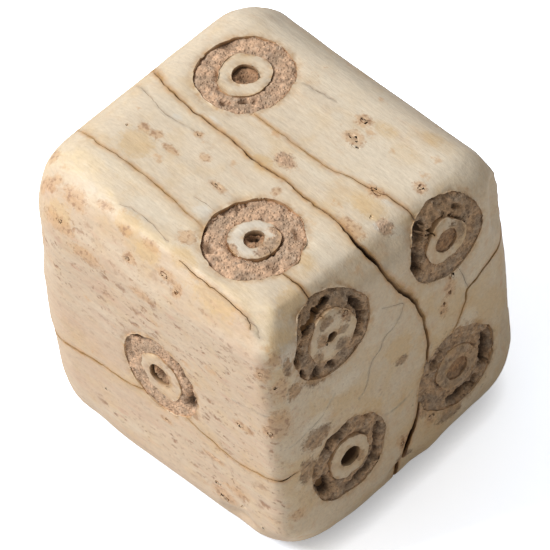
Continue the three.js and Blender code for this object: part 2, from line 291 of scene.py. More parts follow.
def worn_block(inset, name):
    centres = [(corner_centre(corner.split(), wear), wear) for corner, wear in WEAR.items()]
    for sides, depths, radius, axis, ends in RIDGES:
        if radius > inset:
            centres += [(ridge_centre(sides.split(), depths, axis, end), radius) for end in ends]
    balls = []
    for centre, radius in centres:
        bpy.ops.mesh.primitive_ico_sphere_add(subdivisions=4, radius=radius - inset, location=centre)
        balls.append(added("ball"))
    block = joined(balls, name)
    bpy.ops.object.transform_apply(location=True, rotation=True, scale=True)
    bpy.ops.object.mode_set(mode="EDIT")
    bpy.ops.mesh.select_all(action="SELECT")
    bpy.ops.mesh.convex_hull()
    bpy.ops.mesh.normals_make_consistent(inside=False)
    bpy.ops.object.mode_set(mode="OBJECT")
    return block


print("the block is stretched over", len(WEAR) + 2 * len(RIDGES), "balls")

# %% [markdown]
# A flake has split off the upper part of the back, down to a crack. Its room is a large box whose
# corner edge lies in that crack: one side of the box is the leaning wall that the flake left, and the
# other is the ledge.

# %% The lost flake
FLAKE_DEPTH = 0.36
FLAKE_LEAN = 4.6
FLAKE_LEDGE = 0.7932 * HEIGHT
FLAKE_LEDGE_FALL = 4.5
FLAKE_ROOM = 48.0


def flake_room(inset):
    bpy.ops.mesh.primitive_cube_add(size=FLAKE_ROOM)
    room = added("flake_room")
    wall = WIDTH - FRONT_TO_AXIS - slope(BACK_LEAN) * (FLAKE_LEDGE - HEIGHT / 2) - FLAKE_DEPTH
    lean = Matrix.Rotation(math.radians(FLAKE_LEAN), 4, "X")
    fall = Matrix.Rotation(math.radians(FLAKE_LEDGE_FALL), 4, "Y")
    corner = Matrix.Translation((0, FLAKE_ROOM / 2, FLAKE_ROOM / 2))
    return placed(room, Matrix.Translation((0, wall - inset, FLAKE_LEDGE - inset)) @ fall @ lean @ corner)


def bone_at_depth(inset, name):
    return cut(worn_block(inset, name), flake_room(inset))


bone = bone_at_depth(0, "bone_die")
print("worn block:", [round(side, 2) for side in bone.dimensions], "mm,", triangles(bone), "triangles")

# %% [markdown]
# ## The worn surface
# Bone isn't smooth. It undulates, its fibres stand up a little along the grain, and it is rougher on
# the two ends, where the fibres are cut across. A sculptor would brush this on by hand. Here the block
# first gets an even mesh by voxel remesh, and then Displace modifiers push it in and out by noise. An
# empty gives each noise its size, mostly longer along the grain, which runs along X.

# %% Even mesh and relief
BONE_VOXEL = 0.165
LEAST_WEIGHT = 0.01
# an end begins where the normal points this much along X, and counts in full this much further on
END_FROM, END_OVER = 0.45, 0.35
# height of the relief, size of its waves along X, Y and Z, their detail, and where they are
RELIEF = [
    (0.09, (4.5, 3.5, 3.5), 1, ""), (0.07, (4.0, 0.55, 0.55), 2, "sides"), (0.06, (1.0, 1.0, 1.0), 3, "ends"),
]


def displaced(obj, strength, size, detail, group="", middle=0.5):
    texture = bpy.data.textures.new("relief", "CLOUDS")
    texture.noise_scale = 1.0
    texture.noise_depth = detail
    stretch = bpy.data.objects.new("stretch", None)
    bpy.context.collection.objects.link(stretch)
    stretch.scale = size
    bpy.context.view_layer.update()
    finish_with(obj, "DISPLACE", texture=texture, strength=strength, mid_level=middle, vertex_group=group,
                texture_coords="OBJECT", texture_coords_object=stretch)
    removed(stretch)
    bpy.data.textures.remove(texture)


def weighted(obj, name, weight_of):
    group = obj.vertex_groups.new(name=name)
    for vertex in obj.data.vertices:
        weight = weight_of(vertex)
        if weight > LEAST_WEIGHT:
            group.add([vertex.index], min(weight, 1.0), "REPLACE")


def end_weight(vertex):
    return ramp(abs(vertex.normal.x), END_FROM, END_OVER)


finish_with(bone, "REMESH", mode="VOXEL", voxel_size=BONE_VOXEL)
weighted(bone, "ends", end_weight)
weighted(bone, "sides", lambda vertex: 1.0 - end_weight(vertex))
for relief in RELIEF:
    displaced(bone, *relief)
print("relief on", len(bone.data.vertices), "vertices,", triangles(bone), "triangles")

# %% [markdown]
# The wear isn't even either. In some places an edge has lost more than the balls at the corners allow
# for, and in others it stands a little proud. Sculpting would do, but a list can be read and changed:
# each such place is a short line with a radius and a depth, and the points near it move in or out.

# %% Uneven wear
# start and end of the line, radius, depth
WORN_IN = [
    ((-5.0, 6.9, 15.8), (7.0, 6.9, 15.5), 1.5, 0.2), ((7.9, 6.7, 14.2), (7.95, 6.6, 12.0), 0.55, 0.42),
    ((7.8, 6.45, 5.2), (7.8, 6.3, 3.9), 0.55, 0.32), ((8.0, 5.6, 3.2), (8.0, 4.6, 2.2), 0.9, 0.12),
    ((-5.9, -7.9, 3.2), (-4.5, -7.9, 2.2), 1.2, 0.12), ((4.6, -7.5, 2.1), (5.3, -7.5, 2.3), 0.5, 0.3),
    ((8.0, -0.9, 1.9), (7.9, 0.1, 1.7), 0.5, 0.4),
]
STANDING_OUT = [
    ((-7.5, -5.5, 15.2), (-7.4, 4.5, 15.4), 1.6, 0.16), ((-6.9, -7.2, 9.0), (-6.6, -7.4, 6.9), 1.1, 0.16),
    ((7.6, -3.4, 0.9), (7.8, 1.2, 1.1), 1.0, 0.15),
]
MOST_WEAR = 0.6


def gap_to_line(point, start, end):
    start, end = Vector(start), Vector(end)
    way = end - start
    share = (point - start).dot(way) / max(way.length_squared, 1e-9)
    return (point - start - way * max(0.0, min(1.0, share))).length


def wear_at(point, lines):
    wear = 0.0
    for start, end, radius, depth in lines:
        away = gap_to_line(point, start, end) / radius
        wear = max(wear, depth * math.exp(-away * away))
    return wear / MOST_WEAR


for group, lines, way in (("worn in", WORN_IN, -1), ("standing out", STANDING_OUT, 1)):
    weighted(bone, group, lambda vertex: wear_at(vertex.co, lines))
    finish_with(bone, "DISPLACE", strength=way * MOST_WEAR, mid_level=0.0, vertex_group=group)
    print(group, "in", len(lines), "places")

# %% [markdown]
# The surface as it is now, before anything is cut in it, is kept aside. Later it tells how deep under
# the old skin each point lies, because dirt gathers in what is deep, and the deepest places also get
# painted shade.

# %% Remember the skin
skin = BVHTree.FromObject(bone, bpy.context.evaluated_depsgraph_get())
print("skin kept:", triangles(bone), "triangles")

# %% [markdown]
# ## Ring-and-dot pips
# The pips were cut with a centre bit: its point drilled the dot and its side teeth the ring, with a
# boss left between them. The tool for each is turned as a tube and a cone, and the tubes are trimmed
# by the block at groove depth, so that the grooves keep their depth where they run over worn edges.
# The joined tools are roughened before they cut, which leaves walls as ragged as the real ones.

# %% Pips
GROOVE_DEPTH = 0.6
GROOVE_FLARE = 0.12
BIT_REACH = 1.3
DOT_DEPTH = 1.15
DOT_TAPER = 0.14
ABOVE = 0.5
ROD_SIDES = 64
TOOL_VOXEL = 0.2
TOOL_ROUGHNESS = 0.30
# radii of the ring, the boss and the dot that the bit cuts where nothing has changed them since
RADII = (2.27, 1.25, 0.62)

# name, face, the two coordinates across the face, and the radii
PIPS = [
    ("one_a", "front", 0.95, 8.65, (2.25, 1.25, 0.66)),
    ("two_a", "top", -3.65, 2.80, (2.28, 1.25, 0.66)),
    ("two_b", "top", 3.65, -3.40, (2.30, 1.17, 0.48)),
    ("three_a", "left", -4.20, 12.30, RADII),
    ("three_b", "left", 0.10, 8.10, RADII),
    ("three_c", "left", 4.20, 4.00, RADII),
    ("four_a", "right", -3.45, 13.35, (2.22, 1.38, 0.34)),
    ("four_b", "right", 3.38, 13.69, (2.12, 1.15, 0.62)),
    ("four_c", "right", 3.00, 5.60, (2.28, 1.25, 0.62)),
    ("four_d", "right", -3.55, 5.35, (2.22, 1.15, 0.60)),
    ("five_a", "bottom", -4.30, -4.60, RADII),
    ("five_b", "bottom", 4.30, -4.85, RADII),
    ("five_c", "bottom", 0.15, 0.10, RADII),
    ("five_d", "bottom", -4.40, 4.60, RADII),
    ("five_e", "bottom", 4.30, 4.50, RADII),
    ("six_a", "back", -4.95, 11.90, RADII),
    ("six_b", "back", 0.10, 12.05, RADII),
    ("six_c", "back", 4.95, 11.80, RADII),
    ("six_d", "back", -4.95, 4.45, RADII),
    ("six_e", "back", 0.00, 4.55, RADII),
    ("six_f", "back", 4.95, 4.35, RADII),
]
ACROSS = {"top": (0, 1), "bottom": (0, 1), "left": (1, 2), "right": (1, 2), "front": (0, 2), "back": (0, 2)}
print(len(PIPS), "pips, of which the photographed ones have radii of their own")

# %% Cut the pips


def pip_frame(face, first, second):
    normal, point = FACES[face]
    place = Vector((0, 0, 0))
    place[ACROSS[face][0]] = first
    place[ACROSS[face][1]] = second
    fixed = 3 - sum(ACROSS[face])
    place[fixed] = (normal.dot(point) - normal.dot(place)) / normal[fixed]
    return Matrix.Translation(place) @ Vector((0, 0, 1)).rotation_difference(normal).to_matrix().to_4x4()


def rod(radius, tip, depth, name):
    bpy.ops.mesh.primitive_cone_add(vertices=ROD_SIDES, radius1=tip, radius2=radius, depth=depth + ABOVE,
                                    location=(0, 0, (ABOVE - depth) / 2))
    return added(name)


rings = []
dots = []
for name, face, first, second, (ring, boss, dot) in PIPS:
    here = pip_frame(face, first, second)
    tube = rod(ring, ring - GROOVE_FLARE, BIT_REACH, "ring_tool")
    cut(tube, rod(boss, boss + GROOVE_FLARE, BIT_REACH + 1, "boss"))
    rings.append(placed(tube, here))
    dots.append(placed(rod(dot, dot - DOT_TAPER, DOT_DEPTH, "dot_tool"), here))
ring_tools = cut(joined(rings, "ring_tools"), bone_at_depth(GROOVE_DEPTH, "core"))
pip_tools = joined([ring_tools] + dots, "pip_tools")
finish_with(pip_tools, "REMESH", mode="VOXEL", voxel_size=TOOL_VOXEL)
displaced(pip_tools, TOOL_ROUGHNESS, (1.4, 1.4, 1.4), 2)
print("pip tools:", triangles(pip_tools), "triangles")
cut(bone, pip_tools)
print("with pips:", triangles(bone), "triangles")

# %% [markdown]
# The rims of the pips aren't sharp: they have crumbled and worn. A bevel would round them evenly, so
# the points near a rim are pushed inwards by noise instead, which rounds the edge and chips it.

# %% Worn rims
NEAR_FACE = 0.8
RIM_WIDTHS = (0.22, 0.18, 0.15)
HOLE_REACH = 1.5
HOLE_MARGIN = 0.2
HOLE_EDGE = 0.15
RIM_LOSS = 0.20

pip_views = [(pip_frame(face, first, second).inverted(), radii) for name, face, first, second, radii in PIPS]


def rim_nearness(place):
    best = 0.0
    for into_pip, radii in pip_views:
        local = into_pip @ place
        out = math.hypot(local.x, local.y)
        if abs(local.z) <= NEAR_FACE and out < radii[0] + NEAR_FACE:
            nearest = min(abs(out - radius) / width for radius, width in zip(radii, RIM_WIDTHS))
            best = max(best, math.exp(-nearest * nearest))
    return best


def hole_weight(place):
    best = 0.0
    for into_pip, (ring, boss, dot) in pip_views:
        local = into_pip @ place
        if abs(local.z) < HOLE_REACH:
            best = max(best, ramp(dot + HOLE_MARGIN - math.hypot(local.x, local.y), 0, HOLE_EDGE))
    return best


weighted(bone, "rims", lambda vertex: rim_nearness(vertex.co))
displaced(bone, RIM_LOSS, (0.7, 0.6, 0.6), 2, "rims", middle=0.75)
print("rims worn on", len(pip_views), "pips")

# %% [markdown]
# ## Cracks
# Bone dries, shrinks and splits along its grain, so most cracks run along X on the sides and wander
# over the ends. A crack is modelled as a thin ragged blade: a grid is laid along its route and down
# into the bone, Solidify gives it the opening that each point has, and the blade is cut out of the
# block. Where the blade is hardly open it leaves a hairline.

# %% A smooth course
BLADE_STEP = 0.24


def eased(points, values, step):
    route = []
    for k in range(len(points) - 1):
        a, b = points[max(k - 1, 0)], points[k]
        c, d = points[k + 1], points[min(k + 2, len(points) - 1)]
        count = max(1, round((c - b).length / step))
        for i in range(count):
            t = i / count
            near = 0.5 * (2 * b + (c - a) * t + (2 * a - 5 * b + 4 * c - d) * t * t
                          + (3 * b - a - 3 * c + d) * t * t * t)
            route.append((near, values[k] + (values[k + 1] - values[k]) * t))
    return route + [(points[-1], values[-1])]


straight = eased([Vector((0, 0, 0)), Vector((3, 0, 0))], [1, 1], BLADE_STEP)
print("a straight course of 3 mm has", len(straight), "points")

# %% Blade helper
BLADE_ROWS = 5
BLADE_LIFT = 0.35
BLADE_TIP = 0.03
BLADE_TAPER = 0.85
LEAST_DEPTH = 0.1
SLOW_WANDER, SLOW_WAVES = 0.05, 0.9
QUICK_WANDER, QUICK_WAVES = 0.075, 2.6


def crack_blade(name, into, width, most_depth, course):
    into = Vector(into).normalized()
    route = eased([Vector(stop[:3]) for stop in course], [stop[3] for stop in course], BLADE_STEP)
    last = len(route) - 1
    bpy.ops.mesh.primitive_grid_add(x_subdivisions=last, y_subdivisions=BLADE_ROWS, size=2)
    blade = added(name)
    group = blade.vertex_groups.new(name="opening")
    for vertex in blade.data.vertices:
        k = round((vertex.co.x + 1) / 2 * last)
        down = (vertex.co.y + 1) / 2
        place, opening = route[k]
        along = (route[min(k + 1, last)][0] - route[max(k - 1, 0)][0]).normalized()
        side = along.cross(into).normalized()
        depth = most_depth * (LEAST_DEPTH + (1 - LEAST_DEPTH) * min(opening, 1) ** 3)
        wander = SLOW_WANDER * noise.noise(place * SLOW_WAVES + into * down)
        wander += QUICK_WANDER * noise.noise(place * QUICK_WAVES + into * 2 * down)
        vertex.co = place + into * (down * (depth + BLADE_LIFT) - BLADE_LIFT) + side * wander
        # weights stop at 1, so they hold half the opening, and Solidify gets twice the width
        group.add([vertex.index], max(BLADE_TIP, 0.5 * opening * (1 - BLADE_TAPER * down)), "REPLACE")
    finish_with(blade, "SOLIDIFY", thickness=2 * width, offset=0.0, vertex_group="opening",
                thickness_vertex_group=BLADE_TIP)
    return blade


print("a blade has a point every", BLADE_STEP, "mm along its course, and", BLADE_ROWS, "rows into the bone")

# %% The cracks of this die
# the way into the bone, the widest opening, the depth, and the course: places and how far it is open
CRACKS = {
    "main crack": ((-0.55, 0, -0.85), 0.27, 2.4, [
        (-8.3, 0.8, 14.6, 1), (-7.6, 0.7, 15.5, 0.7), (-5.8, 0.05, 16.35, 0.45), (-4.1, -0.15, 16.35, 0.45),
        (-2.0, -0.2, 16.28, 0.45), (0.4, -0.33, 16.24, 0.45), (2.2, -0.25, 16.2, 0.42),
        (4.2, -0.32, 16.15, 0.45), (5.5, -0.3, 16.1, 0.5), (6.4, -0.45, 16.05, 0.75),
        (7.1, -0.5, 15.85, 0.95), (7.7, -0.35, 15.3, 1.05), (8.15, -0.2, 14.55, 0.65),
        (8.3, 0.45, 13.1, 0.95), (8.3, 1.0, 12.15, 0.95), (8.3, 1.35, 11.1, 0.8), (8.3, 1.55, 9.9, 0.72),
        (8.3, 1.6, 8.9, 0.7), (8.3, 1.4, 7.6, 0.7), (8.3, 0.9, 6.1, 0.7), (8.3, 0.3, 4.4, 0.75),
        (8.2, -0.5, 3.0, 1), (7.9, -0.9, 1.2, 1.3),
    ]),
    "top, left end to pip": ((0, 0, -1), 0.05, 0.5, [
        (-8.3, -3.8, 14.5, 1), (-7.5, -3.9, 15.6, 0.9), (-6.7, -4.05, 16.1, 0.9), (-5.3, -4.25, 16.35, 0.9),
        (-3.1, -4.2, 16.34, 1), (-1.0, -4.25, 16.28, 0.9), (0.4, -4.4, 16.24, 0.6), (1.7, -4.45, 16.2, 0.3),
    ]),
    "second pip over the edge": ((-0.7, 0, -0.7), 0.1, 1.1, [
        (3.7, -3.35, 16.2, 0.5), (4.8, -3.45, 16.15, 0.8), (5.9, -3.9, 16.1, 0.9), (7.0, -3.8, 15.9, 1),
        (7.7, -3.8, 15.2, 1), (8.1, -3.7, 14.6, 0.6),
    ]),
    "beside the ridge": ((-0.4, 0, -0.9), 0.11, 1.0, [
        (-1.6, 1.45, 16.26, 0.25), (0.9, 1.5, 16.22, 0.4), (2.7, 1.5, 16.16, 0.35), (4.2, 1.8, 16.12, 0.5),
        (5.5, 2.0, 16.08, 0.7), (6.3, 2.2, 16.04, 0.8), (7.0, 2.25, 15.88, 0.9), (7.7, 2.4, 15.3, 1),
        (8.2, 2.85, 14.5, 0.9),
    ]),
    "along the front": ((-0.15, 0.95, -0.2), 0.12, 1.2, [
        (-8.0, -7.1, 5.8, 1.9), (-6.4, -7.9, 6.0, 1.7), (-4.6, -8.05, 6.35, 1.2), (-3.1, -8.0, 6.52, 0.9),
        (-1.3, -7.95, 6.65, 0.7), (0.1, -7.85, 6.95, 0.7), (0.7, -7.8, 7.1, 0.8), (1.6, -7.75, 7.2, 0.3),
        (2.7, -7.7, 6.9, 0.5), (3.8, -7.68, 6.65, 0.8), (5.6, -7.6, 6.4, 0.7), (7.0, -7.55, 6.65, 0.8),
        (8.0, -7.3, 6.75, 0.9), (8.3, -6.6, 6.95, 0.4),
    ]),
    "under the top front edge": ((0, 0.8, -0.6), 0.075, 0.4, [
        (2.0, -6.3, 15.95, 0.5), (3.0, -6.35, 15.9, 1), (4.0, -6.35, 15.85, 0.9), (5.2, -6.3, 15.75, 1),
        (6.3, -6.3, 15.55, 0.8), (6.75, -6.45, 15.2, 0.5),
    ]),
    "right end to the ledge": ((-0.98, -0.15, -0.1), 0.18, 1.4, [
        (7.4, 7.3, 11.2, 1), (7.95, 6.6, 10.7, 1), (8.25, 5.7, 10.6, 0.9), (8.3, 4.7, 10.1, 0.9),
        (8.3, 4.15, 9.9, 0.8), (8.3, 4.0, 9.3, 0.7), (8.3, 3.6, 8.7, 0.6), (8.3, 3.0, 7.8, 0.3),
    ]),
    "ledge on the back": ((0, -1, -0.1), 0.2, 1.3, [
        (x, 7.6, FLAKE_LEDGE - slope(FLAKE_LEDGE_FALL) * x, gap)
        for x, gap in zip((7.4, 5.6, 2.6, -0.6, -3.6, -6.2, -7.8),
                          (0.9, 0.9, 0.8, 0.6, 0.6, 0.8, 0.9))
    ]),
    "bottom": ((0, 0, 1), 0.16, 1.2, [
        (7.9, -0.9, 0.6, 1), (7.0, -0.8, 0, 0.9), (4.0, -0.6, 0, 0.6), (2.4, -0.5, 0, 0.4),
    ]),
    "left end": ((1, 0, 0), 0.18, 1.2, [
        (-8.0, 0.8, 15.0, 0.8), (-8.3, 0.7, 14.2, 1), (-8.3, 0.9, 12.0, 0.9), (-8.3, 1.6, 9.8, 0.7),
        (-8.3, 1.9, 7.6, 0.5), (-8.3, 1.5, 5.2, 0.3),
    ]),
}

print(len(CRACKS), "cracks:", ", ".join(CRACKS))

# %% Hairlines
# a hairline has a face, which says the way into the bone, and its points
HAIR_WIDTH = 0.04
HAIR_DEPTH = 0.22
HAIR_END = 0.6
INTO = {"top": (0, 0, -1), "front": (0, 1, 0), "right": (-1, 0, 0)}
HAIRLINES = [
    ("top", [(-7.2, -0.55, 15.6), (-5.3, -1.0, 16.3), (-4.5, -1.15, 16.33), (-2.7, -0.95, 16.3)]),
    ("top", [(-2.2, -5.95, 16.2), (-1.0, -5.75, 16.2), (1.0, -5.95, 16.13)]),
    ("top", [(0.0, -3.6, 16.26), (0.6, -3.5, 16.24), (1.3, -3.45, 16.22)]),
    ("top", [(-1.4, 4.2, 16.2), (-0.5, 4.3, 16.2), (0.5, 4.4, 16.17)]),
    ("front", [(5.7, -7.5, 10.6), (6.8, -7.45, 10.85), (7.8, -7.3, 11.0)]),
    ("front", [(6.3, -6.35, 15.6), (7.1, -6.3, 15.3), (8.0, -6.0, 14.6)]),
    ("right", [(8.25, -0.65, 12.7), (8.25, 0.1, 12.3), (8.25, 0.6, 11.95), (8.25, 0.05, 11.2),
               (8.25, -0.75, 10.85), (8.25, -1.1, 10.3), (8.25, -1.6, 10.0), (8.25, -2.1, 8.8),
               (8.25, -2.6, 8.4)]),
    ("right", [(8.25, -3.8, 9.9), (8.25, -4.7, 9.15), (8.25, -5.3, 8.9), (8.25, -6.7, 8.7)]),
    ("right", [(8.25, 3.8, 11.7), (8.25, 4.05, 10.6), (8.25, 4.15, 10.0)]),
    ("right", [(8.25, 0.4, 6.3), (8.25, -0.7, 6.05), (8.25, -1.3, 6.1)]),
]
print(len(HAIRLINES), "hairlines")

# %% Cut the cracks


def surface_of(objects):
    points, faces = [], []
    for obj in objects:
        first = len(points)
        points += [vertex.co.copy() for vertex in obj.data.vertices]
        faces += [[first + corner for corner in face.vertices] for face in obj.data.polygons]
    return BVHTree.FromPolygons(points, faces)


blades = [crack_blade(name, *crack) for name, crack in CRACKS.items()]
hairs = []
for face, points in HAIRLINES:
    gaps = [HAIR_END] + [1.0] * (len(points) - 2) + [HAIR_END]
    course = [(*point, gap) for point, gap in zip(points, gaps)]
    hairs.append(crack_blade("hairline", INTO[face], HAIR_WIDTH, HAIR_DEPTH, course))
crack_walls = surface_of(blades)
hair_walls = surface_of(hairs)
for blade in blades + hairs:
    cut(bone, blade)
print(len(blades), "cracks and", len(hairs), "hairlines:", triangles(bone), "triangles")

# %% [markdown]
# ## Pits and chips
# Small hollows are left where fibres have broken out and where vessels ran through the bone. Each is a
# few squashed balls, mostly longest along the grain and scattered a little, so that its outline is
# ragged. The scatter has a seed, so it is the same each time. All the balls are joined, roughened and
# cut out together.

# %% Places of the pits
# place, and half its size along the face, across it and into the bone
PITS = {
    "top": [
        (6.5, 0.9, 16.05, 0.2, 0.14, 0.1), (2.6, 3.5, 16.14, 0.4, 0.2, 0.08),
        (3.1, 3.2, 16.12, 0.3, 0.14, 0.07), (2.2, 4.5, 16.14, 0.33, 0.18, 0.08),
        (6.8, 3.5, 15.97, 0.28, 0.16, 0.06), (5.6, 2.0, 16.08, 0.42, 0.15, 0.1),
        (0.3, -2.45, 16.25, 0.4, 0.1, 0.06), (-5.3, -2.7, 16.33, 0.12, 0.1, 0.08),
        (7.0, 5.6, 15.9, 0.15, 0.12, 0.09), (-2.5, -1.0, 16.3, 0.15, 0.1, 0.08),
    ],
    "front": [
        (-0.55, -7.15, 14.9, 0.24, 0.18, 0.08), (1.7, -6.95, 15.25, 0.38, 0.13, 0.1),
        (2.5, -7.1, 15.0, 0.2, 0.28, 0.09), (0.5, -7.62, 13.6, 0.42, 0.1, 0.06),
        (6.4, -7.38, 14.05, 0.33, 0.12, 0.07), (3.4, -7.52, 12.2, 0.22, 0.12, 0.06),
        (-3.0, -8.0, 4.9, 0.14, 0.13, 0.08), (1.0, -7.8, 5.75, 0.28, 0.1, 0.06),
        (4.0, -7.7, 5.5, 0.55, 0.1, 0.07), (6.0, -7.5, 9.15, 0.33, 0.14, 0.07),
        (7.75, -7.25, 13.7, 0.2, 0.24, 0.08), (8.1, -6.85, 12.8, 0.14, 0.18, 0.08),
        (7.85, -7.28, 9.8, 0.28, 0.22, 0.08), (4.2, -7.72, 2.95, 0.42, 0.24, 0.11),
        (5.4, -7.65, 3.3, 0.3, 0.16, 0.09), (3.9, -7.75, 3.7, 0.3, 0.18, 0.08),
        (6.6, -7.6, 2.7, 0.12, 0.1, 0.07), (-4.9, -7.45, 14.4, 0.3, 0.14, 0.06),
    ],
    "right": [
        (8.25, 3.4, 11.3, 0.16, 0.28, 0.13), (8.25, 3.15, 10.5, 0.12, 0.2, 0.11),
        (8.25, 2.8, 10.05, 0.12, 0.2, 0.11), (8.25, 2.6, 9.65, 0.1, 0.18, 0.1),
        (8.25, 1.15, 3.8, 0.28, 0.24, 0.08), (8.25, -0.65, 3.7, 0.2, 0.28, 0.08),
        (8.25, -3.8, 13.15, 0.14, 0.2, 0.12), (8.1, -2.65, 14.6, 0.12, 0.25, 0.15),
        (8.25, -2.6, 14.1, 0.2, 0.2, 0.14), (8.2, -5.2, 4.55, 0.4, 0.45, 0.17),
    ],
}

print(sum(len(ones) for ones in PITS.values()), "pits on", len(PITS), "faces")

# %% Pits
PIT_BALLS = 3
PIT_SHARE = (0.4, 0.8)
PIT_DEPTH = (0.7, 1.2)
PIT_ROUGHNESS = 0.09
scatter = random.Random(7)


def pit(face, place, long, wide, deep):
    order = {"top": (0, 1, 2), "front": (0, 2, 1), "right": (1, 2, 0)}[face]
    balls = []
    for ball in range(PIT_BALLS):
        share = scatter.uniform(*PIT_SHARE)
        middle, size = Vector(place), Vector((0, 0, 0))
        for axis, reach in zip(order, (long, wide)):
            middle[axis] += scatter.uniform(share - 1, 1 - share) * reach
            size[axis] = share * reach
        size[order[2]] = deep * scatter.uniform(*PIT_DEPTH)
        bpy.ops.mesh.primitive_ico_sphere_add(subdivisions=2, radius=1, location=middle, scale=size)
        balls.append(added("pit"))
    return balls


balls = []
for face, ones in PITS.items():
    for *place, long, wide, deep in ones:
        balls += pit(face, place, long, wide, deep)
pits = joined(balls, "pits")
bpy.ops.object.transform_apply(location=True, rotation=True, scale=True)
displaced(pits, PIT_ROUGHNESS, (0.25, 0.2, 0.2), 1)
cut(bone, pits)
print("with pits:", triangles(bone), "triangles")

# %% [markdown]
# Where a crack passes close to a pit or a rim, the cuts may leave a crumb that hangs in the air. The
# mesh is parted into its loose pieces, the largest is kept, and the crumbs are thrown away.

# %% Keep the block in one piece
only(bone)
bpy.ops.object.mode_set(mode="EDIT")
bpy.ops.mesh.separate(type="LOOSE")
bpy.ops.object.mode_set(mode="OBJECT")
pieces = sorted(bpy.context.selected_objects, key=lambda obj: len(obj.data.vertices))
bone = pieces.pop()
for crumb in pieces:
    removed(crumb)
bone.name = bone.data.name = "bone_die"
print("loose crumbs taken away:", len(pieces), "-", triangles(bone), "triangles left")
